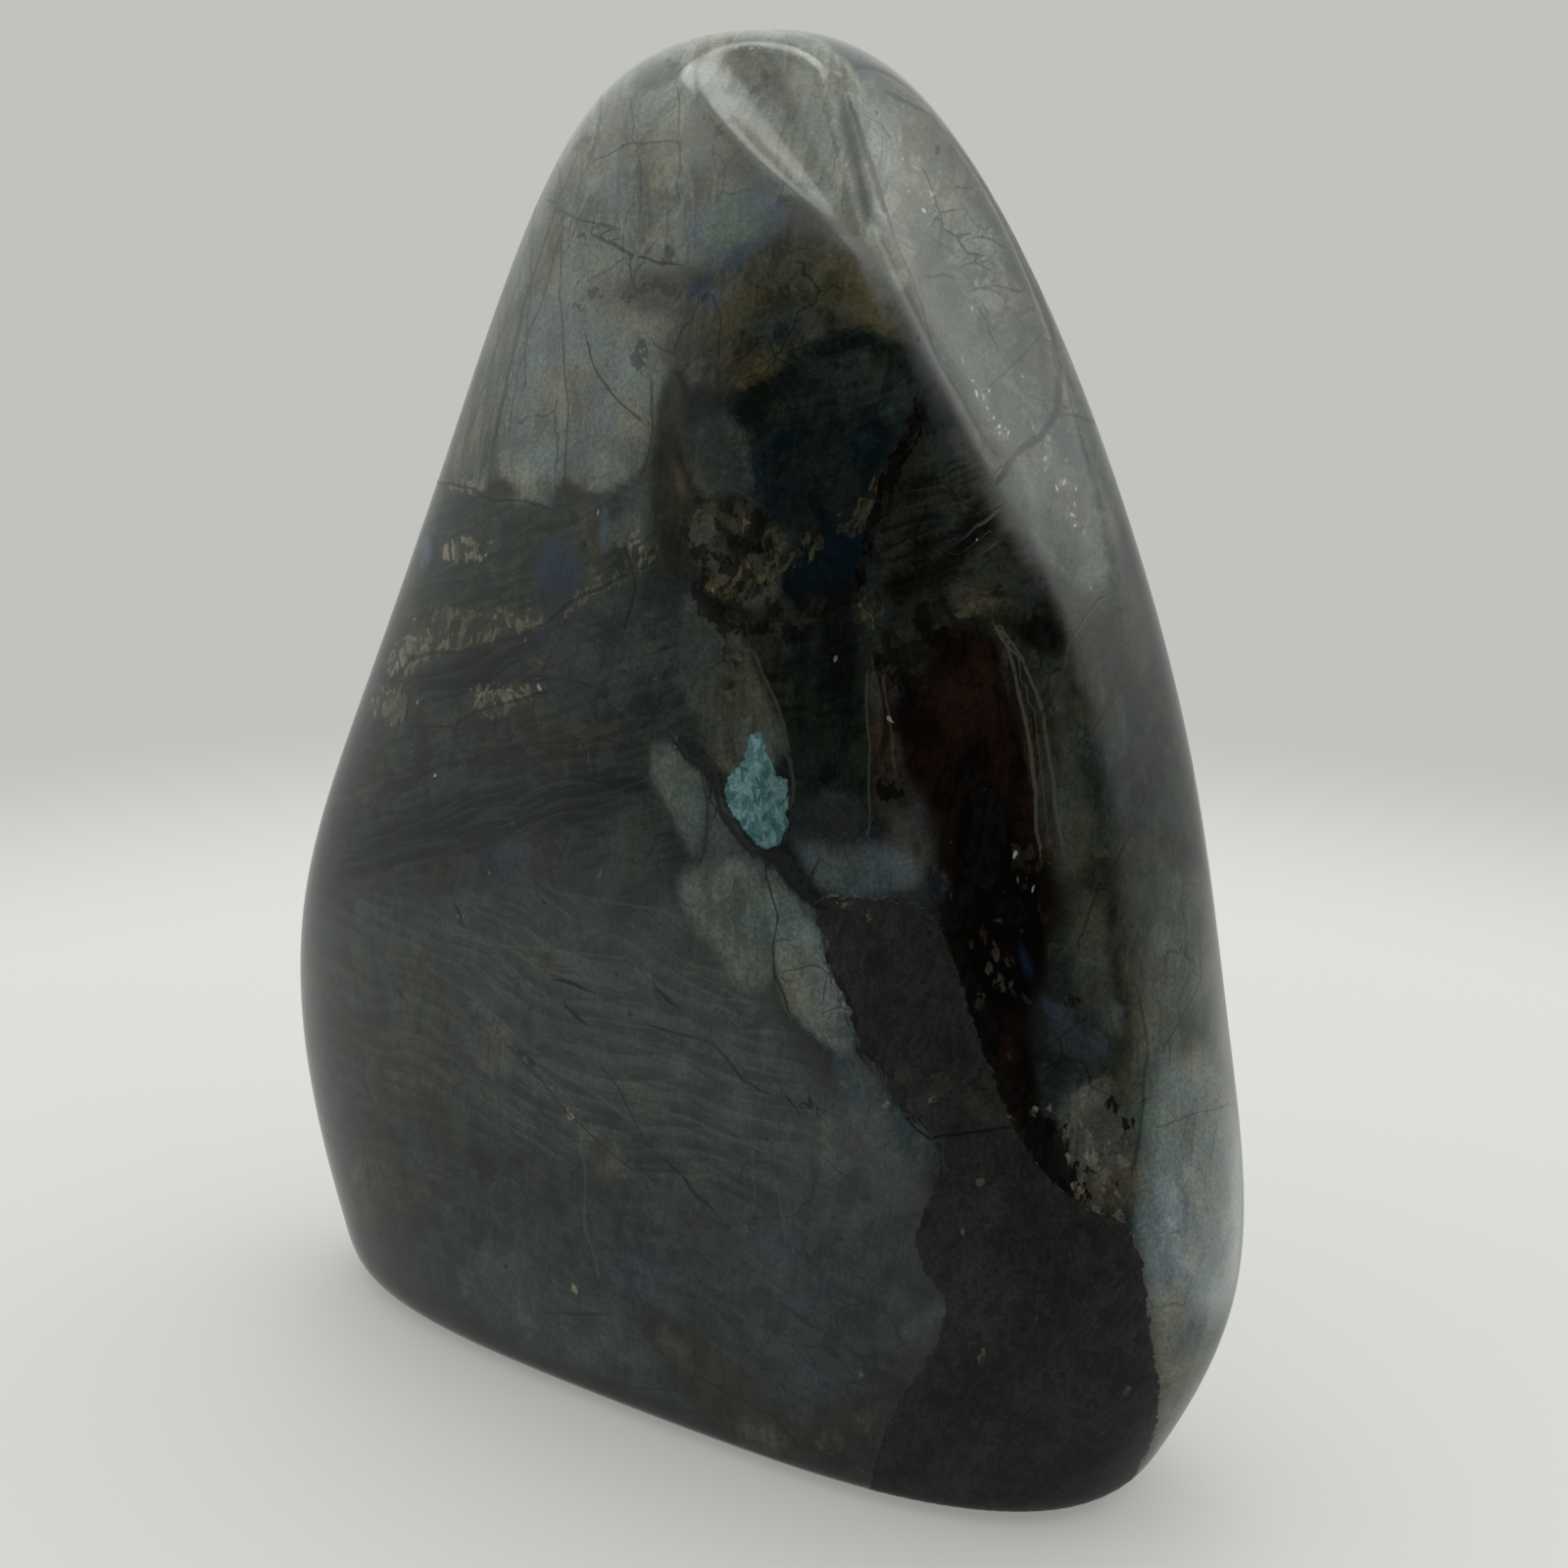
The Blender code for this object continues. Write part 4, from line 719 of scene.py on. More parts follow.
SHOWN_VEINS = (
    ("first line in the rust", 0.20, 0.7, ((1016, 642), (1034, 680), (1046, 730), (1056, 800), (1062, 870))),
    ("second line in the rust", 0.18, 0.6, ((1024, 642), (1046, 672), (1064, 730), (1076, 800), (1082, 860))),
    ("line left of the rust", 0.14, 0.5, ((884, 690), (888, 760), (886, 850))),
    ("brown line on the crest", 0.30, 1.0, ((869, 104), (876, 130), (890, 170), (904, 216))),
    ("light line in the black", 0.20, 0.5, ((768, 664), (790, 712), (806, 771), (812, 800))),
    ("light line in the rust", 0.14, 0.4, ((900, 690), (908, 740), (914, 784))),
    ("left line of the column", 0.16, 0.4, ((794, 740), (806, 790), (808, 820))),
    ("first light seam", 0.16, 0.5, ((590, 1140), (598, 1200), (596, 1250), (612, 1306))),
    ("second light seam", 0.16, 0.4, ((640, 1120), (700, 1140), (780, 1176))),
    ("third light seam", 0.18, 0.4, ((480, 960), (560, 970), (640, 976))),
    ("fourth light seam", 0.16, 0.45, ((560, 990), (600, 1000), (640, 1010))),
    ("fifth light seam", 0.16, 0.4, ((600, 1040), (680, 1052), (760, 1080))),
    ("sixth light seam", 0.20, 0.5, ((524, 1072), (560, 1090), (600, 1110), (650, 1150))),
    ("seventh light seam", 0.16, 0.4, ((620, 920), (680, 930), (720, 950))),
    ("eighth light seam", 0.18, 0.4, ((680, 1060), (740, 1080), (800, 1100))),
    ("upright light seam", 0.14, 0.35, ((764, 1120), (768, 1180), (770, 1230))),
    ("seam at the foot", 0.14, 0.4, ((583, 1326), (600, 1334), (632, 1354))),
    ("edge of the panel", 0.10, 0.35, ((792, 1140), (790, 1200), (800, 1260))),
    ("bright line under the ledge", 0.16, 0.5, ((862, 1062), (880, 1086), (892, 1104))),
    ("light line at the facet's foot", 0.16, 0.5, ((864, 1080), (876, 1100), (886, 1108))),
)

# The far side isn't in the photograph. These marks continue the minerals that reach its edges,
# in pixels of the same camera turned to the far side.
FAR_AZIMUTH = 215.0
FAR_MARKS = (
    ("haze of the back", "haze", 6.0, 3.0, 1.0,
     ((720, 880), (960, 860), (1260, 900), (1300, 1080), (1220, 1300), (980, 1400), (760, 1340),
      (680, 1100))),
    ("still haze of the back", "still haze", 6.0, 3.0, 1.0,
     ((420, 1200), (700, 1220), (900, 1360), (1100, 1380), (1000, 1500), (600, 1560), (400, 1480))),
    ("foot haze of the back", "foot haze", 4.0, 3.0, 0.7,
     ((860, 1330), (1000, 1300), (1120, 1340), (1040, 1420), (900, 1440))),
    ("green side of the back", "light grey green", 6.0, 3.0, 1.0,
     ((300, 1000), (360, 780), (420, 620), (540, 640), (590, 800), (560, 1000), (520, 1180), (470, 1400),
      (330, 1440), (280, 1200))),
    ("grey green beside it", "grey green", 5.0, 3.0, 1.0,
     ((540, 640), (640, 600), (700, 760), (690, 980), (640, 1180), (540, 1200), (560, 1000), (580, 820))),
    ("dusk of the back", "dusk fibre", 4.0, 3.0, 1.0,
     ((820, 560), (1000, 540), (1180, 500), (1270, 860), (1100, 900), (940, 860), (800, 760))),
    ("slab of the back", "dusk slab", 2.0, 2.0, 0.9,
     ((900, 780), (1060, 740), (1230, 760), (1250, 820), (1080, 830), (940, 850))),
    ("flank of the back", "flank grey", 3.0, 2.0, 0.9,
     ((960, 520), (1160, 490), (1190, 600), (1080, 640), (980, 610))),
    ("shoulder of the back", "grey green", 6.0, 3.0, 1.0,
     ((520, 250), (640, 160), (740, 260), (760, 440), (720, 620), (560, 660), (420, 620), (450, 440))),
    ("pale feldspar of the back", "pale feldspar", 1.4, 2.0, 1.0,
     ((740, 10), (960, 20), (1080, 180), (1150, 380), (1190, 500), (1120, 500), (1060, 480), (1000, 510),
      (940, 470), (880, 500), (850, 440), (800, 420), (760, 340), (700, 300), (660, 200), (640, 100))),
    ("beige of the back", "beige feldspar", 5.0, 3.0, 0.8,
     ((760, 80), (900, 70), (980, 180), (900, 260), (780, 240))),
    ("cool lobe of the back", "cool feldspar", 4.0, 3.0, 0.8,
     ((900, 280), (1060, 260), (1100, 420), (980, 460), (900, 400))),
    ("rim of the back", "rim feldspar", 3.0, 1.6, 0.8,
     ((1060, 200), (1110, 240), (1200, 500), (1140, 500), (1090, 360))),
    ("olive of the back", "olive", 3.0, 2.0, 0.9,
     ((740, 380), (830, 400), (880, 480), (840, 580), (760, 540), (730, 450))),
    ("navy of the back", "navy", 2.0, 2.0, 0.9, ((700, 600), (800, 560), (860, 640), (820, 740), (730, 720))),
    ("blue of the back", "deep blue", 0.9, 2.2, 0.6,
     ((744, 612), (772, 604), (788, 640), (780, 690), (762, 664), (748, 680))),
    ("sky blue of the back", "sky blue", 0.8, 2.0, 0.3,
     ((556, 1030), (580, 1010), (604, 1080), (612, 1140), (586, 1110), (566, 1090))),
    ("rust of the back", "rust", 3.0, 3.4, 0.9,
     ((604, 640), (660, 600), (680, 660), (730, 720), (712, 790), (724, 880), (660, 990), (640, 900),
      (600, 880), (616, 790), (584, 730))),
    ("black of the back", "rusty black", 1.4, 2.6, 0.9,
     ((620, 860), (660, 800), (676, 850), (716, 900), (700, 980), (690, 1060), (650, 1100), (652, 1010),
      (620, 960))),
    ("mist of the back", "mist", 1.2, 2.2, 0.8,
     ((700, 900), (744, 872), (770, 900), (776, 960), (820, 1010), (836, 1060), (800, 1070), (760, 1040),
      (736, 1080), (716, 1010))),
    ("blue white of the back", "blue white", 1.0, 2.0, 0.6,
     ((790, 1060), (826, 1050), (848, 1110), (880, 1150), (872, 1200), (836, 1180), (806, 1120))),
    ("mottle of the back", "mottle", 1.2, 1.8, 0.8,
     ((470, 1180), (530, 1160), (560, 1240), (520, 1300), (470, 1260))),
)
FAR_CRISP_MARKS = (
    ("gold of the back", "gold", 0.55,
     ((940, 660), (990, 636), (1040, 628), (1090, 604), (1170, 600), (1150, 622), (1080, 640), (1010, 668),
      (970, 676))),
    ("second gold of the back", "gold", 0.5,
     ((900, 726), (960, 704), (1060, 700), (1030, 722), (960, 730), (920, 744))),
    ("third gold of the back", "gold", 0.4,
     ((1090, 734), (1140, 716), (1210, 714), (1180, 734), (1130, 740))),
    ("tan of the back", "tan", 0.7, ((800, 540), (860, 500), (900, 520), (860, 570), (810, 590))),
    ("second tan of the back", "tan", 0.6, ((690, 560), (740, 520), (752, 548), (712, 600), (684, 610))),
    ("black vein of the back", "black", 0.9,
     ((700, 420), (724, 440), (716, 520), (690, 600), (700, 680), (680, 684), (670, 600), (690, 520))),
    ("flash of the back", "cyan", 0.8,
     ((650, 1104), (664, 1076), (680, 1084), (690, 1060), (700, 1090), (694, 1130), (704, 1166), (684, 1190),
      (668, 1160), (652, 1150))),
    ("dark patch of the back", "matte", 1.0,
     ((840, 1130), (870, 1080), (930, 1096), (980, 1080), (1030, 1130), (1020, 1180), (1060, 1240),
      (1040, 1330), (1070, 1400), (1060, 1560), (880, 1560), (900, 1460), (880, 1380), (920, 1300),
      (880, 1230))),
)
FAR_CRACKS = (
    ("first of the back", 0.30, 0.8, ((700, 900), (740, 860), (800, 850), (860, 800))),
    ("second of the back", 0.20, 0.7, ((860, 1100), (800, 1160), (740, 1180), (690, 1240))),
    ("third of the back", 0.16, 0.5, ((860, 120), (856, 240), (870, 380))),
    ("fourth of the back", 0.16, 0.5, ((960, 100), (980, 240), (1000, 400))),
    ("fifth of the back", 0.16, 0.5, ((420, 700), (480, 820), (470, 960), (500, 1080))),
    ("sixth of the back", 0.18, 0.6, ((960, 1000), (1040, 1020), (1120, 1080), (1160, 1140))),
    ("seventh of the back", 0.16, 0.5, ((560, 400), (640, 420), (700, 480))),
    ("under the gold of the back", 0.22, 0.6, ((930, 690), (1020, 660), (1120, 640), (1200, 620))),
)
FAR_VEINS = (
    ("first seam of the back", 0.16, 0.4, ((760, 1200), (860, 1230), (960, 1300))),
    ("second seam of the back", 0.16, 0.4, ((900, 960), (1000, 950), (1120, 980))),
    ("third seam of the back", 0.16, 0.4, ((480, 1300), (540, 1360), (640, 1400))),
)


# How far below and above its heights a side's curve is followed
CURVE_BELOW = 0.015
CURVE_ABOVE = 0.020


def unit(vector):
    vector = np.array(vector, dtype=float)
    return vector / np.linalg.norm(vector)


def ease(value, start, end):
    share = np.clip((value - start) / (end - start), 0, 1)
    return share * share * (3 - 2 * share)


def smooth_curve(values):
    """Return a function of height that gives a natural cubic's value and slope."""
    height = np.array(STATIONS)
    value = np.array(values)
    count = len(height)
    step = np.diff(height)
    matrix = np.eye(count)
    right_side = np.zeros(count)
    for i in range(1, count - 1):
        matrix[i, i - 1] = step[i - 1]
        matrix[i, i] = 2 * (step[i - 1] + step[i])
        matrix[i, i + 1] = step[i]
        rise_above = (value[i + 1] - value[i]) / step[i]
        rise_below = (value[i] - value[i - 1]) / step[i - 1]
        right_side[i] = 6 * (rise_above - rise_below)
    bend = np.linalg.solve(matrix, right_side)

    def at(z):
        z = np.clip(z, height[0] - CURVE_BELOW, height[-1] + CURVE_ABOVE)
        i = np.clip(np.searchsorted(height, z) - 1, 0, count - 2)
        above = height[i + 1] - z
        below = z - height[i]
        low = value[i] / step[i] - bend[i] * step[i] / 6
        high = value[i + 1] / step[i] - bend[i + 1] * step[i] / 6
        cubic = (bend[i] * above ** 3 + bend[i + 1] * below ** 3) / (6 * step[i])
        slope = (bend[i + 1] * below ** 2 - bend[i] * above ** 2) / (2 * step[i])
        return cubic + low * above + high * below, slope + high - low

    return at


left_at = smooth_curve(LEFT_REACH)
right_at = smooth_curve(RIGHT_REACH)
front_at = smooth_curve(FRONT_REACH)
back_at = smooth_curve(BACK_REACH)


def blend(a, b, width):
    """Keep what is inside both surfaces, with a soft edge where they cross."""
    overlap = np.clip(width - np.abs(a - b), 0, None) / width
    return np.maximum(a, b) + overlap ** 3 * width / 6


def broad_face(outward, reach, slope, bow, x):
    fall = bow * (x / BOW_HALF_WIDTH) ** 2
    tilt = 2 * bow * x / BOW_HALF_WIDTH ** 2
    return (outward - reach + fall) / np.sqrt(1 + slope ** 2 + tilt ** 2)


def rounded_end(outward, reach, slope, radius, y):
    return (outward - reach + y * y / (2 * radius)) / np.sqrt(1 + slope ** 2 + (y / radius) ** 2)


def crown_of(x, y, z):
    x = x - CROWN_SHIFT
    drop = x * x / (2 * CROWN_RADIUS_X) + y * y / (2 * CROWN_RADIUS_Y)
    return (z - HEIGHT + drop) / np.sqrt(1 + (x / CROWN_RADIUS_X) ** 2 + (y / CROWN_RADIUS_Y) ** 2)


def body_of(points):
    """Sides and crown, before anything is ground into them."""
    x, y, z = points[..., 0], points[..., 1], points[..., 2]
    front = broad_face(-y, *front_at(z), FRONT_BOW, x)
    back = broad_face(y, *back_at(z), BACK_BOW, x)
    left = rounded_end(-x, *left_at(z), LEFT_END_RADIUS, y)
    right = rounded_end(x, *right_at(z), RIGHT_END_RADIUS, y - RIGHT_END_SHIFT)
    turn = ease(z, FRONT_RIGHT_TURN_FROM, FRONT_RIGHT_TURN_TO)
    front_right_blend = FRONT_RIGHT_BLEND_LOW + (FRONT_RIGHT_BLEND_HIGH - FRONT_RIGHT_BLEND_LOW) * turn
    front_right = blend(front, right, front_right_blend)
    front_left = blend(front, left, FRONT_LEFT_BLEND)
    right_half = blend(front_right, blend(back, right, BACK_RIGHT_BLEND), MIDDLE_BLEND)
    left_half = blend(front_left, blend(back, left, BACK_LEFT_BLEND), MIDDLE_BLEND)
    share = 1 / (1 + np.exp(-x / MIDDLE_BLEND))
    return blend(right_half * share + left_half * (1 - share), crown_of(x, y, z), CROWN_BLEND)


def hollow_of(points, hollow):
    """A round or tapering tool's path, as the space that the stone stays out of."""
    foot = np.array(hollow["foot"])
    top = np.array(hollow["top"])
    floor = unit(top - foot)
    facing = np.array(hollow["facing"])
    facing = unit(facing - floor * (facing @ floor))
    start = foot + facing * hollow["foot_radius"]
    end = top + facing * hollow["top_radius"]
    span = np.linalg.norm(end - start)
    along = (end - start) / span
    growth = (hollow["top_radius"] - hollow["foot_radius"]) / span
    offset = points - start
    travel = offset @ along
    away = np.linalg.norm(offset - travel[..., None] * along, axis=-1)
    return (hollow["foot_radius"] + growth * travel - away) / np.sqrt(1 + growth ** 2)


def form_of(points):
    """Negative inside the stone, zero on its surface."""
    form = body_of(points)
    for hollow in HOLLOWS:
        form = blend(form, hollow_of(points, hollow), hollow["blend"])
    return blend(form, -points[..., 2], FOOT_BLEND)


def slope_of(points):
    slope = np.empty_like(points)
    for axis in range(3):
        step = np.zeros(3)
        step[axis] = GRADIENT_STEP
        slope[:, axis] = (form_of(points + step) - form_of(points - step)) / (2 * GRADIENT_STEP)
    return slope


def crowd_toward(directions, middle, pull):
    """Gather the grid round one direction, where more detail shows."""
    middle = unit(middle)
    facing = np.clip(directions @ middle, 0, None) ** 2
    moved = directions + pull * facing[:, None] * middle
    return moved / np.linalg.norm(moved, axis=1, keepdims=True)


def cast_onto_stone(directions):
    """Move each direction of a ball out from the spine until it meets the surface."""
    aim = directions * np.array(CAST_HALF_SIZE) + np.array([0, 0, CAST_CENTRE_HEIGHT])
    spine = np.zeros_like(aim)
    spine[:, 0] = aim[:, 0] * SPINE_SHARE_OF_X
    spine[:, 2] = np.clip(aim[:, 2], SPINE_LOWEST, SPINE_HIGHEST)
    ray = aim - spine
    ray /= np.linalg.norm(ray, axis=1, keepdims=True)
    inside = np.zeros(len(aim))
    outside = np.full(len(aim), CAST_REACH)
    for _ in range(CAST_HALVINGS):
        middle = (inside + outside) / 2
        is_inside = form_of(spine + ray * middle[:, None]) < 0
        inside = np.where(is_inside, middle, inside)
        outside = np.where(is_inside, outside, middle)
    return spine + ray * inside[:, None]


def back_onto_stone(points):
    """Move points that are close to the surface onto it, down the form's slope."""
    slope = slope_of(points)
    return points - slope * (form_of(points) / (slope ** 2).sum(axis=1))[:, None]


def evened(surface, edges):
    """Slide the grid along the surface toward equal squares."""
    neighbours = np.bincount(edges.ravel(), minlength=len(surface))
    for _ in range(EVENING_ROUNDS):
        total = np.zeros_like(surface)
        for axis in range(3):
            total[:, axis] = np.bincount(edges[:, 0], surface[edges[:, 1], axis], len(surface))
            total[:, axis] += np.bincount(edges[:, 1], surface[edges[:, 0], axis], len(surface))
        middle = total / neighbours[:, None]
        surface = back_onto_stone(surface + (middle - surface) * EVENING_SHARE)
    surface = back_onto_stone(surface)
    surface[np.abs(surface[:, 2]) < FOOT_TOLERANCE, 2] = 0
    return surface


def box_middle(surface):
    """The point that goes over the origin: the middle of the box, at the height of the foot."""
    low = surface.min(axis=0)
    high = surface.max(axis=0)
    return np.array([(low[0] + high[0]) / 2, (low[1] + high[1]) / 2, low[2]])


def heading_of(azimuth, elevation):
    """Direction at these angles in degrees: azimuth 0 is toward -Y and 90 toward +X."""
    turn = np.radians(azimuth)
    rise = np.radians(elevation)
    return np.array([np.sin(turn) * np.cos(rise), -np.cos(turn) * np.cos(rise), np.sin(rise)])


def camera_axes(azimuth):
    """Right, up and backward directions of the photograph's camera, turned round to this azimuth."""
    roll = np.radians(CAMERA_ROLL)
    back = heading_of(azimuth, CAMERA_ELEVATION)
    level = unit(np.cross([0, 0, 1.0], back))
    upright = np.cross(back, level)
    right = level * np.cos(roll) + upright * np.sin(roll)
    return right, np.cross(back, right), back


def seen_at(points, azimuth):
    """Pixel of the photograph's frame where each point shows, and millimetres per pixel there."""
    right, upright, back = camera_axes(azimuth)
    focus = CAMERA_LENS / CAMERA_SENSOR * FRAME_SIDE
    offset = points - (np.array(CAMERA_TARGET) + back * CAMERA_DISTANCE)
    depth = -(offset @ back)
    across = FRAME_SIDE / 2 + focus * (offset @ right) / depth
    down = FRAME_SIDE / 2 - focus * (offset @ upright) / depth
    return np.stack([across, down], axis=-1), depth * MILLIMETRES / focus


def stone_grid():
    """The form on a fine grid: its mesh, its outward directions, and its places."""
    grid = bmesh.new()
    bmesh.ops.create_cube(grid, size=2)
    bmesh.ops.subdivide_edges(grid, edges=grid.edges[:], cuts=GRID_SQUARES - 1, use_grid_fill=True)
    mesh = bpy.data.meshes.new("stone_surface")
    grid.to_mesh(mesh)
    grid.free()
    cube = np.empty(len(mesh.vertices) * 3)
    mesh.vertices.foreach_get("co", cube)
    edges = np.empty(len(mesh.edges) * 2, dtype=np.int32)
    mesh.edges.foreach_get("vertices", edges)
    directions = np.tan(cube.reshape(-1, 3) * np.pi / 4)
    directions /= np.linalg.norm(directions, axis=1, keepdims=True)
    directions = crowd_toward(directions, FRONT_DIRECTION, FRONT_PULL)
    directions = crowd_toward(directions, SHOULDER_DIRECTION, SHOULDER_PULL)
    surface = evened(cast_onto_stone(directions), edges.reshape(-1, 2))
    outward = slope_of(surface)
    outward /= np.linalg.norm(outward, axis=1, keepdims=True)
    surface = surface - box_middle(surface)
    mesh.vertices.foreach_set("co", surface.ravel())
    mesh.update()
    return mesh, surface, outward


# Marks are drawn fully where the surface turns this much toward their camera, and not at all beyond the rim
RIM_HIDDEN = -0.16
RIM_SHOWN = 0.04
CORNER_ROUNDS = 2
CORNER_CUT = 0.25
VERY_FAR = 1e9
ALMOST_NONE = 1e-9
CHIP_OUTLINE = ((-0.55, -0.35), (0.10, -0.60), (0.60, -0.15), (0.30, 0.60), (-0.45, 0.45))

# How far from crisp marks and from lines their distance is kept, and how lines wander, in millimetres.
# A line fades over this share of its reach.
LINE_KINDS = ("crack", "vein")
CRISP_REACH = 3.0
CRACK_REACH = 1.6
CRACK_FADE = 0.6
WOBBLE_SIZE = 4.0
WOBBLE_DEPTH = 0.5

# The lumps of a ragged edge: how their size follows the raggedness, and how many times its size they reach
RAG_GROWTH = 3.0
RAG_LEAST = 1.5
RAG_REACH = 3

# Steps between the seeds of the noise for one mark or line and the next
MARK_SEEDS = 31
LINE_SEEDS = 7
SECOND_SEED = 3

HASH_STEPS = (374761393, 668265263, 1274126177)
HASH_MIX = 1103515245
HASH_MASK = 0x7FFFFFFF

# Each finer layer of noise is turned by this, so that its own grid never shows
NOISE_TURN = np.array(Euler((0.6, 0.9, 1.3)).to_matrix())


def lattice(cells, seed):
    """A fixed scattered number from 0 to 1 for each whole-numbered cell."""
    mixed = cells[..., 0] * HASH_STEPS[0] + cells[..., 1] * HASH_STEPS[1] + cells[..., 2] * HASH_STEPS[2]
    mixed = (mixed + seed * HASH_MIX) & HASH_MASK
    mixed = ((mixed ^ (mixed >> 13)) * HASH_MIX) & HASH_MASK
    mixed = ((mixed ^ (mixed >> 16)) * HASH_STEPS[0]) & HASH_MASK
    return (mixed & 0xFFFF) / 0xFFFF


def lumps(places, seed):
    """Smooth noise from -1 to 1, with lumps one unit wide."""
    cell = np.floor(places).astype(np.int64)
    share = places - cell
    share = share * share * (3 - 2 * share)
    total = np.zeros(len(places))
    for corner in np.ndindex(2, 2, 2):
        weight = np.prod(np.where(np.array(corner) == 1, share, 1 - share), axis=1)
        total += weight * lattice(cell + np.array(corner), seed)
    return total * 2 - 1


def cloud(places, size, seed, rounds=3):
    """Noise with finer lumps on top of coarse ones, for places in millimetres."""
    total = np.zeros(len(places))
    places = places / size
    for step in range(rounds):
        places = places @ NOISE_TURN
        total += lumps(places * 2 ** step, seed + step) / 2 ** step
    return total / (2 - 0.5 ** (rounds - 1))


def rounded(outline):
    """Cut an outline's corners, so that it bends."""
    points = np.array(outline, dtype=float)
    for _ in range(CORNER_ROUNDS):
        after = np.roll(points, -1, axis=0)
        early = points * (1 - CORNER_CUT) + after * CORNER_CUT
        late = points * CORNER_CUT + after * (1 - CORNER_CUT)
        points = np.stack([early, late], axis=1).reshape(-1, 2)
    return points


def depth_in(pixels, outline):
    """Distance inside an outline, in pixels: negative outside it."""
    points = rounded(outline)
    nearest = np.full(len(pixels), VERY_FAR)
    inside = np.zeros(len(pixels), dtype=bool)
    for start, end in zip(points, np.roll(points, -1, axis=0)):
        side = end - start
        offset = pixels - start
        share = np.clip(offset @ side / (side @ side), 0, 1)
        gap = offset - share[:, None] * side
        nearest = np.minimum(nearest, (gap ** 2).sum(axis=1))
        crosses = (start[1] > pixels[:, 1]) != (end[1] > pixels[:, 1])
        reach = start[0] + (pixels[:, 1] - start[1]) * side[0] / (side[1] if side[1] else ALMOST_NONE)
        inside ^= crosses & (pixels[:, 0] < reach)
    return np.where(inside, 1, -1) * np.sqrt(nearest)


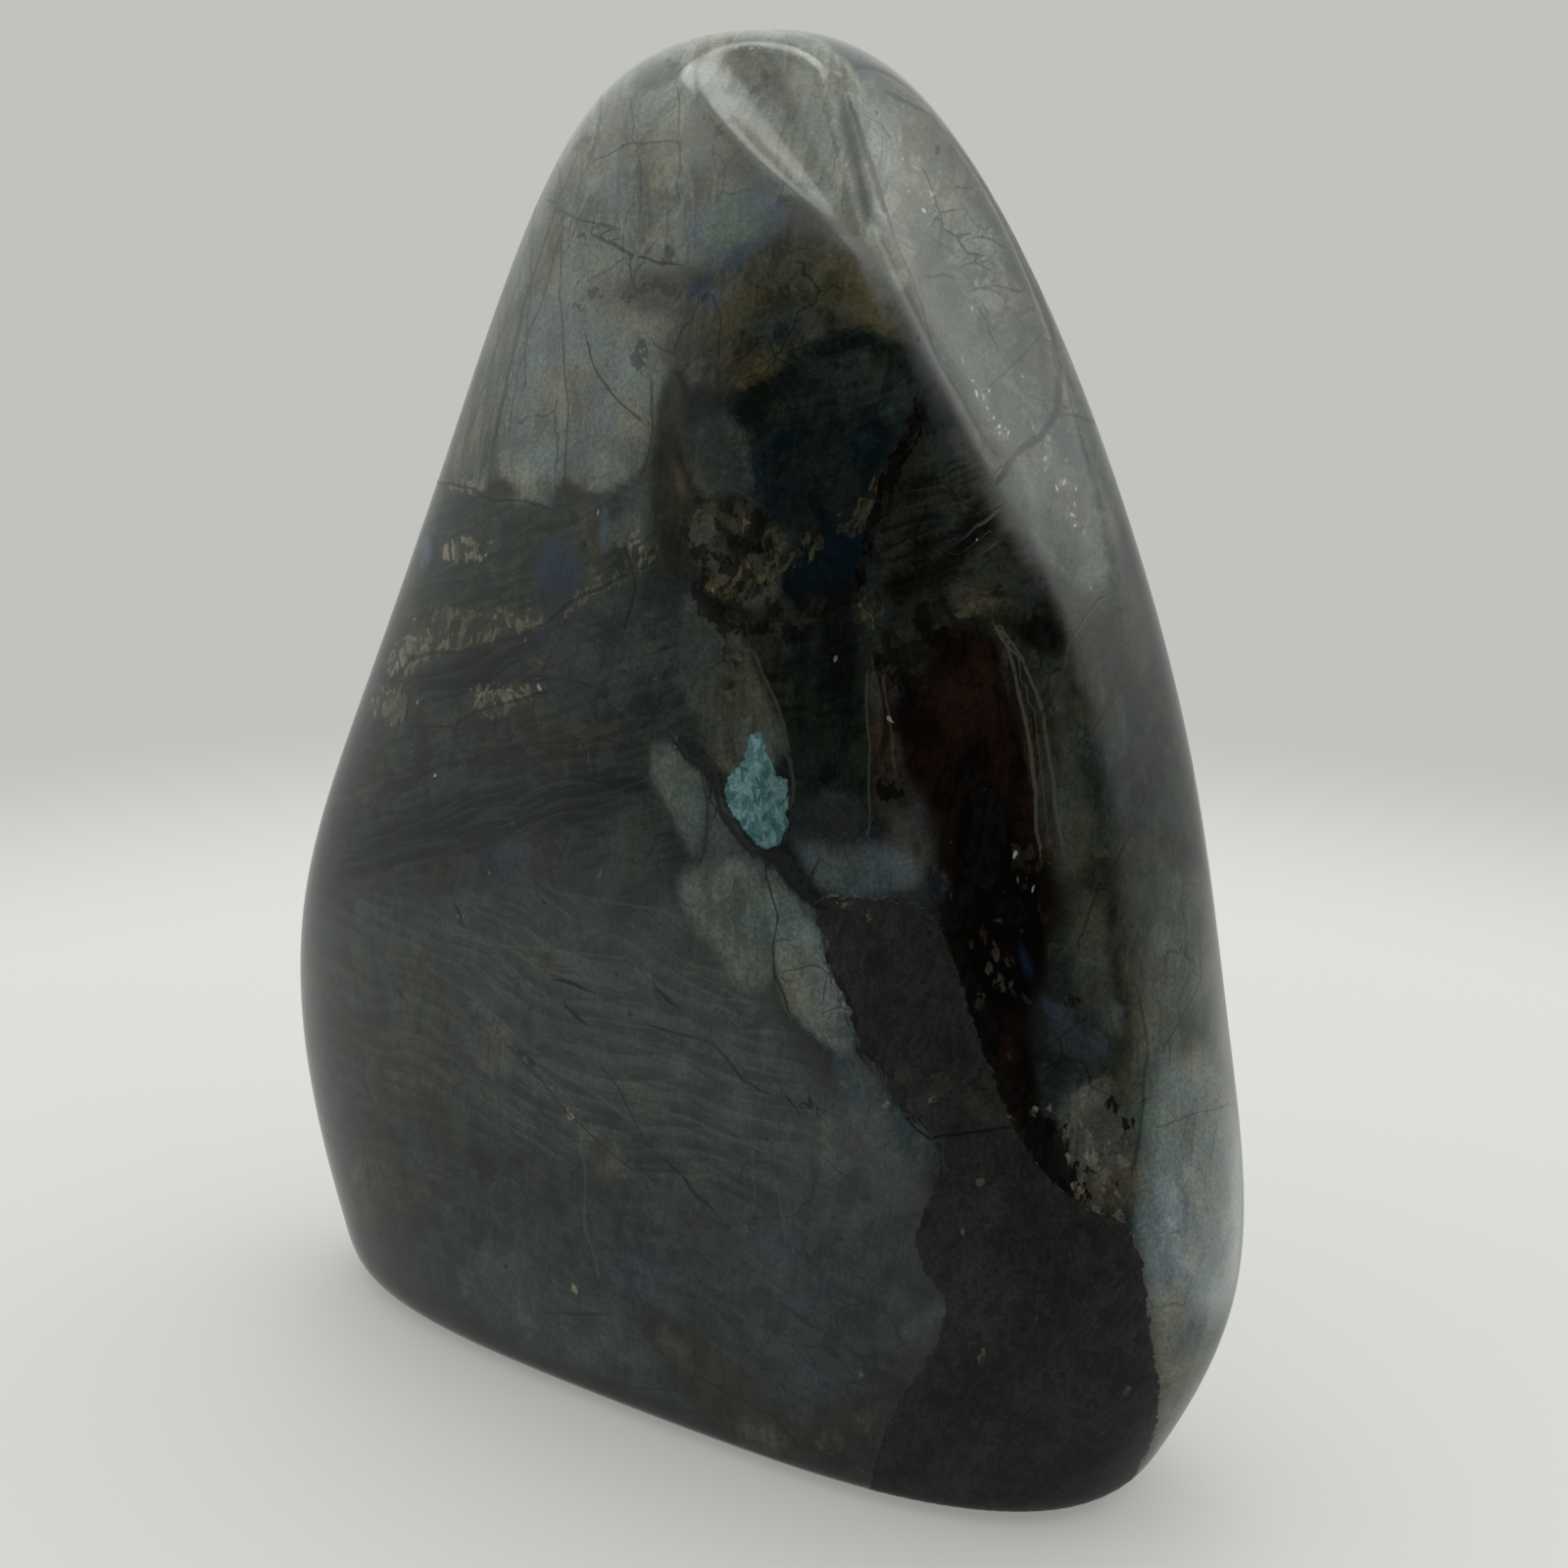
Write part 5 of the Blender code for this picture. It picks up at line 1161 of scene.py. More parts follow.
class Coat:
    """The stone's painted layers, one value for each place on it."""

    def __init__(self, surface, outward):
        self.surface = surface
        self.outward = outward
        self.places = surface * MILLIMETRES
        count = len(surface)
        body = zip(PAINT_LAYERS, PAINTS["body"])
        self.colours = {layer: np.tile(value, (count, 1)) for layer, value in body}
        self.depths = {name: np.full(count, -CRISP_REACH) for name in CRISP_LAYERS}
        self.strengths = {name: np.zeros(count) for name in CRISP_LAYERS}
        self.nearest = {name: np.full(count, CRACK_REACH) for name in LINE_KINDS}
        self.across = {name: np.full(count, CRACK_REACH) for name in LINE_KINDS}
        self.strong = {name: np.zeros(count) for name in LINE_KINDS}

    def look_from(self, azimuth):
        """Take the pixels that a camera at this azimuth gives each place, and how far each place faces it."""
        back = camera_axes(azimuth)[2]
        toward = np.array(CAMERA_TARGET) + back * CAMERA_DISTANCE - self.surface
        toward /= np.linalg.norm(toward, axis=1, keepdims=True)
        self.shown = ease((self.outward * toward).sum(axis=1), RIM_HIDDEN, RIM_SHOWN)
        self.pixels, self.scale = seen_at(self.surface, azimuth)

    def near(self, outline, spare, name):
        """The shown places within an outline or this many millimetres from it."""
        corners = np.array(outline)
        spare = spare / self.scale.min()
        beyond_low = (self.pixels > corners.min(axis=0) - spare).all(axis=1)
        below_high = (self.pixels < corners.max(axis=0) + spare).all(axis=1)
        found = beyond_low & below_high & (self.shown > 0)
        if not found.any():
            raise ValueError(f"{name} lies nowhere on the stone")
        return np.flatnonzero(found)

    def draw(self, marks):
        """Lay soft marks one over another."""
        for seed, (name, finish, edge, ragged, strength, outline) in enumerate(marks):
            near = self.near(outline, edge + RAG_REACH * ragged, name)
            depth = depth_in(self.pixels[near], outline) * self.scale[near]
            depth += ragged * cloud(self.places[near], RAG_GROWTH * ragged + RAG_LEAST, MARK_SEEDS * seed)
            share = (ease(depth, -edge / 2, edge / 2) * self.shown[near] * strength)[:, None]
            for layer, value in zip(PAINT_LAYERS, PAINTS[finish]):
                values = self.colours[layer]
                values[near] += (np.array(value) - values[near]) * share

    def draw_crisp(self, marks):
        """Keep how deep each place lies in the crisp marks of each layer."""
        for name, layer, strength, outline in marks:
            near = self.near(outline, CRISP_REACH, name)
            depth = depth_in(self.pixels[near], outline) * self.scale[near]
            depth = depth * self.shown[near] - CRISP_REACH * (1 - self.shown[near])
            deeper = depth > self.depths[layer][near]
            self.depths[layer][near] = np.where(deeper, depth, self.depths[layer][near])
            self.strengths[layer][near] = np.where(deeper, strength, self.strengths[layer][near])

    def draw_spots(self, spots):
        """Draw small crisp marks, each a chip of the same outline, stretched and turned."""
        for name, layer, strength, chips in spots:
            for across, down, width, height, turn in chips:
                slope = np.radians(-turn)
                turned = np.array([[np.cos(slope), np.sin(slope)], [-np.sin(slope), np.cos(slope)]])
                outline = (np.array(CHIP_OUTLINE) * (width, height)) @ turned + (across, down)
                self.draw_crisp(((name, layer, strength, outline),))

    def follow(self, kind, lines):
        """Keep the signed distance across the nearest line in half widths, and how strong it is there."""
        for seed, (name, half_width, strength, line) in enumerate(lines):
            near = self.near(line, 2 * CRACK_REACH, name)
            scale = self.scale[near]
            seeds = (LINE_SEEDS * seed, LINE_SEEDS * seed + SECOND_SEED)
            wobble = np.stack([cloud(self.places[near], WOBBLE_SIZE, each) for each in seeds], axis=-1)
            shifted = self.pixels[near] + wobble * WOBBLE_DEPTH / scale[:, None]
            points = np.array(line, dtype=float)
            for start, end in zip(points, points[1:]):
                side = end - start
                offset = shifted - start
                share = np.clip(offset @ side / (side @ side), 0, 1)
                distance = np.linalg.norm(offset - share[:, None] * side, axis=1) * scale
                sign = np.where(side[0] * offset[:, 1] - side[1] * offset[:, 0] > 0, 1, -1)
                closer = distance < self.nearest[kind][near]
                chosen = near[closer]
                fade = ease(CRACK_REACH - distance[closer], 0, CRACK_REACH * CRACK_FADE)
                self.nearest[kind][chosen] = distance[closer]
                self.across[kind][chosen] = (sign * distance)[closer] / half_width
                self.strong[kind][chosen] = fade * strength * self.shown[chosen]

    def keep_on(self, mesh):
        for name, values in self.colours.items():
            keep_colour(mesh, name, values)
        for name in CRISP_LAYERS:
            keep_number(mesh, name + "_depth", self.depths[name])
            keep_number(mesh, name + "_strength", self.strengths[name])
        for name in self.across:
            keep_number(mesh, name + "_across", self.across[name])
            keep_number(mesh, name + "_strength", self.strong[name])


def keep_number(mesh, name, values):
    layer = mesh.attributes.new(name, "FLOAT", "POINT")
    layer.data.foreach_set("value", values.astype(np.float32))


def keep_colour(mesh, name, values):
    layer = mesh.attributes.new(name, "FLOAT_COLOR", "POINT")
    filled = np.ones((len(values), 4), dtype=np.float32)
    filled[:, :3] = values
    layer.data.foreach_set("color", filled.ravel())


def make_stone():
    mesh, surface, outward = stone_grid()
    coat = Coat(surface, outward)
    for azimuth, marks, crisp_marks, spots, cracks, veins in (
            (FAR_AZIMUTH, FAR_MARKS, FAR_CRISP_MARKS, (), FAR_CRACKS, FAR_VEINS),
            (CAMERA_AZIMUTH, SHOWN_MARKS, CRISP_MARKS, SHOWN_SPOTS, SHOWN_CRACKS, SHOWN_VEINS)):
        coat.look_from(azimuth)
        coat.draw(marks)
        coat.draw_crisp(crisp_marks)
        coat.draw_spots(spots)
        coat.follow("crack", cracks)
        coat.follow("vein", veins)
    coat.keep_on(mesh)
    mesh.materials.append(stone_material())
    mesh.shade_smooth()
    stone = bpy.data.objects.new("polished_stone", mesh)
    bpy.context.scene.collection.objects.link(stone)
    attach(stone, "root")
    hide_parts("stone")
    return stone


# Brightness of the room in linear light: at each height, then in its soft parts and lamps one after another.
# Angles are in degrees.
PICTURE_BACKGROUND = (0.545, 0.540, 0.515)
ROOM_HEIGHTS = (
    (-90, 0.18),
    (-60, 0.21),
    (-45, 0.30),
    (-34, 0.34),
    (-26, 0.46),
    (-18, 0.50),
    (-8, 0.40),
    (0, 0.42),
    (12, 0.75),
    (30, 0.95),
    (50, 1.10),
    (90, 1.50),
)
ROOM_PARTS = (
    {"name": "bright floor behind the shoulder", "azimuth": 148, "elevation": -22,
     "half_width": 46, "half_height": 16, "lean": 0.0, "edge": 0.60, "level": 1.05},
    {"name": "dark side behind the camera", "azimuth": 38, "elevation": 8,
     "half_width": 84, "half_height": 42, "lean": 0.35, "edge": 0.20, "level": 0.016},
    {"name": "bright window beside the shoulder", "azimuth": 112, "elevation": 50,
     "half_width": 62, "half_height": 34, "lean": -1.0, "edge": 0.22, "level": 1.8},
    {"name": "dim wall behind", "azimuth": -174, "elevation": 8,
     "half_width": 22, "half_height": 14, "lean": 0.0, "edge": 0.60, "level": 0.42},
)
ROOM_LAMPS = (
    {"name": "lamp overhead", "azimuth": 175, "elevation": 81, "inner": 1, "outer": 15, "level": 3.2},
    {"name": "lamp at the left", "azimuth": -46, "elevation": 43, "inner": 1, "outer": 18, "level": 1.9},
    {"name": "lamp over the front", "azimuth": 56, "elevation": 54, "inner": 2, "outer": 13, "level": 2.4},
    {"name": "lamp over the crest", "azimuth": 86, "elevation": 48, "inner": 2, "outer": 11, "level": 3.0},
    {"name": "high lamp behind", "azimuth": -135, "elevation": 72, "inner": 3, "outer": 15, "level": 4.4},
    {"name": "lamp over the crown", "azimuth": -95, "elevation": 60, "inner": 3, "outer": 12, "level": 4.4},
)

# The floor is a disc that fades out into the plain background
FLOOR_RADIUS = 0.60
FLOOR_FADE_FROM = 0.22
FLOOR_FADE_TO = 0.42
FLOOR_SIDES = 96
FLOOR_ROUGHNESS = 0.8
NEAREST_SHOWN = 0.01

# Noise in the material: the size of its lumps, its detail and its roughness. Sizes are in millimetres.
NOISE_MIDDLE = 0.5
NOISES = {
    "dapple": (3.4, 4.0, 0.68),
    "rag": (1.3, 3.0, 0.62),
    "grain": (0.5, 2.0, 0.7),
    "broad tone": (8.0, 4.0, 0.6),
    "tint": (9.0, 3.0, 0.55),
    "feather line": (1.0, 2.0, 0.6),
    "healed patch": (10.0, 1.0, 0.55),
    "smear": (1.0, 3.0, 0.7),
    "grinding wave": (6.0, 1.0, 0.55),
    "scratch": (1.0, 1.0, 0.55),
    "grit": (0.35, 2.0, 0.7),
}

# Bends: how long they are, and how far they push a place
FLOWING_BEND = (26.0, 10.0)
SOFT_BEND = (7.0, 5.0)
WAVY_BEND = (1.6, 0.9)

# Grains: their slope in the picture in degrees, and the length and width of one piece
PLATE_GRAIN = (70, 5.0, 2.8)
SHARD_GRAIN = (78, 1.3, 0.62)
SMEAR_GRAIN = (30, 9.0, 3.0)
SCRATCH_GRAIN = (40, 3.0, 0.8)
FEATHER_GRAINS = {
    "falling": (-17, 12.0, 2.0),
    "rising": (15, 9.0, 1.2),
    "upright": (84, 14.0, 1.8),
}

# Steps: where they begin and end, and then the values there, when these aren't 0 and 1
FEATHER_STEP = (0.80, 1.60)
VEIL_STEP = (0.42, 0.68)
GRAIN_TONE_STEP = (0.25, 0.75, 0.74, 1.28)
BROAD_TONE_STEP = (0.3, 0.7, 0.78, 1.22)
TINT_STEP = (0.35, 0.65)
FLAKE_AND_GLINT_STEP = (0.20, 0.36, 1.0, 0.0)
PIT_STEP = (0.07, 0.12, 1.0, 0.0)
CRISP_STEP = (-0.09, 0.09)
LINE_STEP = (-0.4, 0.4)
SMEAR_STEP = (0.3, 0.75, 0.7, 1.6)
GROOVE_STEP = (0.3, 1.3, -0.012, 0.0)

# How much each part counts in the feathers, in the mottling and in the tone. The feathers' lines are this
# many times as short and as narrow as the feathers.
FEATHER_SIDE = 0.60
FEATHER_LINES = 1.5
LINE_SHORTER = 2
LINE_NARROWER = 4
DAPPLE_SHARE = 0.80
PLATE_SHARE = 0.16
SHARD_SHARE = 0.12
PLATE_TONE = 0.26
PLATE_TONE_LEAST = 0.87

# Healed cracks: the size of their net, their width and how far it fades, and the patches that show them
HEALED_SIZE = 10.0
HEALED_WIDTH = 0.06
HEALED_FADE = 2.6
HEALED_STRENGTH = 0.50
HEALED_PATCH = 0.50
HEALED_PATCH_EDGE = 0.08

# Pits, crisp marks and lines
PIT_SHARE = 0.45
PIT_DARKNESS = 0.8
PIT_ROUGHNESS = 0.3
PATTERN_FROM = 0.05
PATTERN_TO = 0.85
LINE_RAG = 2.0
MATTE_METAL = 0.6

# Heights of the relief
WAVE_HEIGHT = 0.030
SCRATCH_HEIGHT = 0.002
GRIT_HEIGHT = 0.10

# Linear colours, and two tints that multiply a colour
WARM_TINT = (1.09, 1.00, 0.86)
COOL_TINT = (0.91, 1.00, 1.10)
CRACK_COLOUR = (0.0022, 0.0022, 0.0018)
VEIN_COLOUR = (0.075, 0.076, 0.062)
PIT_COLOUR = (0.0015, 0.0014, 0.0012)
# Colour of the light flakes, some of which are painted glints
FLAKE_AND_GLINT_COLOUR = (0.42, 0.41, 0.36)


def link(tree, source, target):
    tree.links.new(source, target)


def calculate(tree, operation, *terms):
    """A Math node: each term is a number or another node's output."""
    node = tree.nodes.new("ShaderNodeMath")
    node.operation = operation
    for place, term in enumerate(terms):
        if isinstance(term, (int, float)):
            node.inputs[place].default_value = term
        else:
            link(tree, term, node.inputs[place])
    return node.outputs["Value"]


def times(tree, first, second):
    return calculate(tree, "MULTIPLY", first, second)


def weighed(tree, value, weight, rest):
    """A value times a weight, and the rest added."""
    return calculate(tree, "MULTIPLY_ADD", value, weight, rest)


def stretch(tree, value, low, high, start=0.0, end=1.0):
    """A smooth step from start to end as value goes from low to high."""
    node = tree.nodes.new("ShaderNodeMapRange")
    node.interpolation_type = "SMOOTHSTEP"
    for name, number in (("From Min", low), ("From Max", high), ("To Min", start), ("To Max", end)):
        node.inputs[name].default_value = number
    link(tree, value, node.inputs["Value"])
    return node.outputs["Result"]


def attribute(tree, name, output="Fac"):
    node = tree.nodes.new("ShaderNodeAttribute")
    node.attribute_name = name
    return node.outputs[output]


def parts_of(tree, colour):
    """Red, green and blue of a colour: a layer's name or another node's output."""
    if isinstance(colour, str):
        colour = attribute(tree, colour, "Color")
    node = tree.nodes.new("ShaderNodeSeparateColor")
    link(tree, colour, node.inputs["Color"])
    return node.outputs


def combined(tree, operation, *terms):
    """A Vector Math node: each term is three numbers or another node's output."""
    node = tree.nodes.new("ShaderNodeVectorMath")
    node.operation = operation
    for place, term in enumerate(terms):
        if isinstance(term, (tuple, list, np.ndarray)):
            node.inputs[place].default_value = tuple(float(part) for part in term)
        else:
            link(tree, term, node.inputs[place])
    return node.outputs["Value" if operation in ("DOT_PRODUCT", "LENGTH") else "Vector"]


def places(tree):
    """The stone's own places in millimetres."""
    place = tree.nodes.new("ShaderNodeTexCoord").outputs["Object"]
    return combined(tree, "MULTIPLY", place, (MILLIMETRES,) * 3)


def noise(tree, place, size, detail=1.0, roughness=0.55, output="Fac"):
    """Noise from 0 to 1, with lumps of this size in millimetres."""
    node = tree.nodes.new("ShaderNodeTexNoise")
    node.inputs["Scale"].default_value = 1 / size
    node.inputs["Detail"].default_value = detail
    node.inputs["Roughness"].default_value = roughness
    link(tree, place, node.inputs["Vector"])
    return node.outputs[output]


def bent(tree, place, size, amount):
    """Places pushed about by noise, so that what is drawn on them bends."""
    push = combined(tree, "SUBTRACT", noise(tree, place, size, output="Color"), (NOISE_MIDDLE,) * 3)
    return combined(tree, "ADD", place, combined(tree, "MULTIPLY", push, (amount,) * 3))


def grained(tree, place, turn, length, width):
    """Places measured along and across a grain, in pieces of it."""
    right, upright, back = camera_axes(CAMERA_AZIMUTH)
    tilt = np.radians(turn)
    along = right * np.cos(tilt) + upright * np.sin(tilt)
    across = upright * np.cos(tilt) - right * np.sin(tilt)
    node = tree.nodes.new("ShaderNodeCombineXYZ")
    for socket, axis in (("X", along / length), ("Y", across / width), ("Z", back / length)):
        link(tree, combined(tree, "DOT_PRODUCT", place, axis), node.inputs[socket])
    return node.outputs["Vector"]


def cells(tree, place, feature="F1"):
    node = tree.nodes.new("ShaderNodeTexVoronoi")
    node.feature = feature
    node.inputs["Scale"].default_value = 1.0
    link(tree, place, node.inputs["Vector"])
    return node.outputs


def feathers(tree, place, turn, length, width):
    """Long plates along a grain, each lighter toward one side, with finer lines along them."""
    grain = grained(tree, place, turn, length, width)
    plate = cells(tree, grain)
    aside = combined(tree, "SUBTRACT", grain, plate["Position"])
    across = combined(tree, "DOT_PRODUCT", aside, (0, 1, 0))
    light = weighed(tree, parts_of(tree, plate["Color"])["Red"], FEATHER_SIDE, across)
    fine = grained(tree, place, turn, length / LINE_SHORTER, width / LINE_NARROWER)
    line = noise(tree, fine, *NOISES["feather line"])
    return stretch(tree, weighed(tree, line, FEATHER_LINES, light), *FEATHER_STEP)


def mixed(tree, share, first, second):
    """A colour that goes from first to second. Each is a colour or another node's output."""
    node = tree.nodes.new("ShaderNodeMix")
    node.data_type = "RGBA"
    for name, term in (("Factor", share), ("A", first), ("B", second)):
        socket = node.inputs[name]
        if isinstance(term, (int, float)):
            socket.default_value = term
        elif isinstance(term, tuple):
            socket.default_value = (*term, 1)
        else:
            link(tree, term, socket)
    return node.outputs["Result"]


def brightened(tree, colour, amount):
    """A colour times a number from another node."""
    node = tree.nodes.new("ShaderNodeVectorMath")
    node.operation = "SCALE"
    link(tree, colour, node.inputs[0])
    link(tree, amount, node.inputs["Scale"])
    return node.outputs["Vector"]


def drawn_line(tree, name, rag):
    """How much a crack or vein covers, from its distance across and its strength."""
    distance = calculate(tree, "ABSOLUTE", attribute(tree, name + "_across"))
    inside = calculate(tree, "SUBTRACT", times(tree, rag, LINE_RAG), distance)
    return times(tree, stretch(tree, inside, *LINE_STEP), attribute(tree, name + "_strength"))


def crisp_layer(tree, name, rag, shard, dapple, tone):
    """How much a crisp layer covers, and its colour."""
    finish = CRISP_LAYERS[name]
    ragged = calculate(tree, "SUBTRACT", rag, NOISE_MIDDLE)
    broken = calculate(tree, "SUBTRACT", shard["Green"], NOISE_MIDDLE)
    depth = weighed(tree, ragged, finish["ragged"], attribute(tree, name + "_depth"))
    depth = weighed(tree, broken, finish["broken"], depth)
    share = times(tree, stretch(tree, depth, *CRISP_STEP), attribute(tree, name + "_strength"))
    pattern = weighed(tree, shard["Blue"], finish["flaky"], dapple)
    pattern = stretch(tree, pattern, NOISE_MIDDLE + PATTERN_FROM * finish["flaky"],
                      NOISE_MIDDLE + PATTERN_TO * finish["flaky"])
    return share, brightened(tree, mixed(tree, pattern, finish["ground"], finish["accent"]), tone)


def stone_material():
    settings = bpy.context.scene.stone_look
    material = bpy.data.materials.new("polished_labradorite")
    material.use_nodes = True
    tree = material.node_tree
    shader = tree.nodes["Principled BSDF"]
    shader.inputs["IOR"].default_value = settings.refraction
    plain = places(tree)
    flowing = bent(tree, plain, *FLOWING_BEND)
    soft = bent(tree, plain, *SOFT_BEND)
    wavy = bent(tree, soft, *WAVY_BEND)
    dapple = noise(tree, soft, *NOISES["dapple"])
    rag = noise(tree, plain, *NOISES["rag"])
    grain = noise(tree, plain, *NOISES["grain"])
    plates = cells(tree, grained(tree, soft, *PLATE_GRAIN))
    plate = parts_of(tree, plates["Color"])
    shards = cells(tree, grained(tree, wavy, *SHARD_GRAIN))
    shard = parts_of(tree, shards["Color"])
    scatter = parts_of(tree, "scatter")
    fibre = parts_of(tree, "fibre")

    # The ground, with its accent as mottling and feathers
    mottle = weighed(tree, plate["Red"], PLATE_SHARE, times(tree, shard["Red"], SHARD_SHARE))
    mottle = weighed(tree, dapple, DAPPLE_SHARE, mottle)
    veil = times(tree, stretch(tree, mottle, *VEIL_STEP), scatter["Blue"])
    for name, amount in (("falling", fibre["Red"]), ("rising", fibre["Green"]), ("upright", fibre["Blue"])):
        veil = weighed(tree, feathers(tree, flowing, *FEATHER_GRAINS[name]), amount, veil)
    colour = mixed(tree, veil, attribute(tree, "ground", "Color"), attribute(tree, "accent", "Color"))
    tone = times(tree, stretch(tree, grain, *GRAIN_TONE_STEP),
                 stretch(tree, noise(tree, plain, *NOISES["broad tone"]), *BROAD_TONE_STEP))
    tone = times(tree, tone, weighed(tree, plate["Green"], PLATE_TONE, PLATE_TONE_LEAST))
    warmth = stretch(tree, noise(tree, soft, *NOISES["tint"]), *TINT_STEP)
    colour = combined(tree, "MULTIPLY", colour, mixed(tree, warmth, WARM_TINT, COOL_TINT))
    colour = brightened(tree, colour, tone)

    # Healed cracks: a faint net, shown in patches
    net = combined(tree, "MULTIPLY", wavy, (1 / HEALED_SIZE,) * 3)
    net = cells(tree, net, "DISTANCE_TO_EDGE")["Distance"]
    width = HEALED_WIDTH / HEALED_SIZE
    line = stretch(tree, net, width, width * HEALED_FADE, HEALED_STRENGTH, 0.0)
    shown = noise(tree, plain, *NOISES["healed patch"])
    shown = stretch(tree, shown, HEALED_PATCH, HEALED_PATCH + HEALED_PATCH_EDGE)
    colour = mixed(tree, times(tree, line, shown), colour, CRACK_COLOUR)

    # Light flakes off cleavage steps, partly painted glints, and small dark pits
    flake = stretch(tree, shards["Distance"], *FLAKE_AND_GLINT_STEP)
    kept = times(tree, calculate(tree, "LESS_THAN", shard["Red"], scatter["Red"]), shard["Green"])
    colour = mixed(tree, times(tree, flake, kept), colour, FLAKE_AND_GLINT_COLOUR)
    pit = stretch(tree, plates["Distance"], *PIT_STEP)
    kept = calculate(tree, "LESS_THAN", plate["Blue"], times(tree, scatter["Green"], PIT_SHARE))
    pit = times(tree, pit, kept)
    colour = mixed(tree, times(tree, pit, PIT_DARKNESS), colour, PIT_COLOUR)

    # Crisp marks, one layer over another, with broken edges
    shares = {}
    for name in CRISP_LAYERS:
        shares[name], layer = crisp_layer(tree, name, rag, shard, dapple, tone)
        colour = mixed(tree, shares[name], colour, layer)
    matte = shares["matte"]

    # Veins and cracks
    vein = drawn_line(tree, "vein", rag)
    colour = mixed(tree, vein, colour, VEIN_COLOUR)
    crack = drawn_line(tree, "crack", rag)
    colour = mixed(tree, crack, colour, CRACK_COLOUR)
    link(tree, colour, shader.inputs["Base Color"])

    # The polish, with its smears, and the rougher dark mineral
    smear = noise(tree, grained(tree, plain, *SMEAR_GRAIN), *NOISES["smear"])
    rough = times(tree, stretch(tree, smear, *SMEAR_STEP), settings.polish_roughness)
    rougher = settings.matte_roughness - settings.polish_roughness
    rough = weighed(tree, matte, rougher, rough)
    rough = weighed(tree, calculate(tree, "MAXIMUM", crack, pit), PIT_ROUGHNESS, rough)
    link(tree, rough, shader.inputs["Roughness"])
    link(tree, times(tree, matte, MATTE_METAL), shader.inputs["Metallic"])

    # Relief too fine for the grid: grinding waves, scratches, grit of the rough mineral, and cracks
    wave = times(tree, noise(tree, plain, *NOISES["grinding wave"]), WAVE_HEIGHT)
    scratch = noise(tree, grained(tree, plain, *SCRATCH_GRAIN), *NOISES["scratch"])
    scratch = times(tree, scratch, SCRATCH_HEIGHT)
    grit = times(tree, noise(tree, plain, *NOISES["grit"]), times(tree, matte, GRIT_HEIGHT))
    height = calculate(tree, "ADD", calculate(tree, "ADD", wave, scratch), grit)
    groove = stretch(tree, calculate(tree, "ABSOLUTE", attribute(tree, "crack_across")), *GROOVE_STEP)
    height = weighed(tree, groove, attribute(tree, "crack_strength"), height)
    bump = tree.nodes.new("ShaderNodeBump")
    bump.inputs["Strength"].default_value = 1.0
    bump.inputs["Distance"].default_value = 1 / MILLIMETRES
    link(tree, height, bump.inputs["Height"])
    link(tree, bump.outputs["Normal"], shader.inputs["Normal"])
    return material


def radians(degrees):
    return float(np.radians(degrees))


def within_part(tree, heading, height, part):
    """How much a heading lies within a soft oval part of the room."""
    ahead = combined(tree, "DOT_PRODUCT", heading, heading_of(part["azimuth"], 0))
    aside = combined(tree, "DOT_PRODUCT", heading, heading_of(part["azimuth"] + 90, 0))
    turn = calculate(tree, "ARCTAN2", aside, ahead)
    rise = calculate(tree, "SUBTRACT", calculate(tree, "ARCSINE", height), radians(part["elevation"]))
    turn = weighed(tree, rise, -part["lean"], turn)
    wide = calculate(tree, "DIVIDE", turn, radians(part["half_width"]))
    tall = calculate(tree, "DIVIDE", rise, radians(part["half_height"]))
    radius = calculate(tree, "SQRT", weighed(tree, tall, tall, times(tree, wide, wide)))
    return stretch(tree, radius, 1 - part["edge"], 1.0, 1.0, 0.0)


def within_lamp(tree, heading, lamp):
    """How much a heading lies within a round lamp."""
    facing = combined(tree, "DOT_PRODUCT", heading, heading_of(lamp["azimuth"], lamp["elevation"]))
    outer = float(np.cos(np.radians(lamp["outer"])))
    inner = float(np.cos(np.radians(lamp["inner"])))
    return stretch(tree, facing, outer, inner)


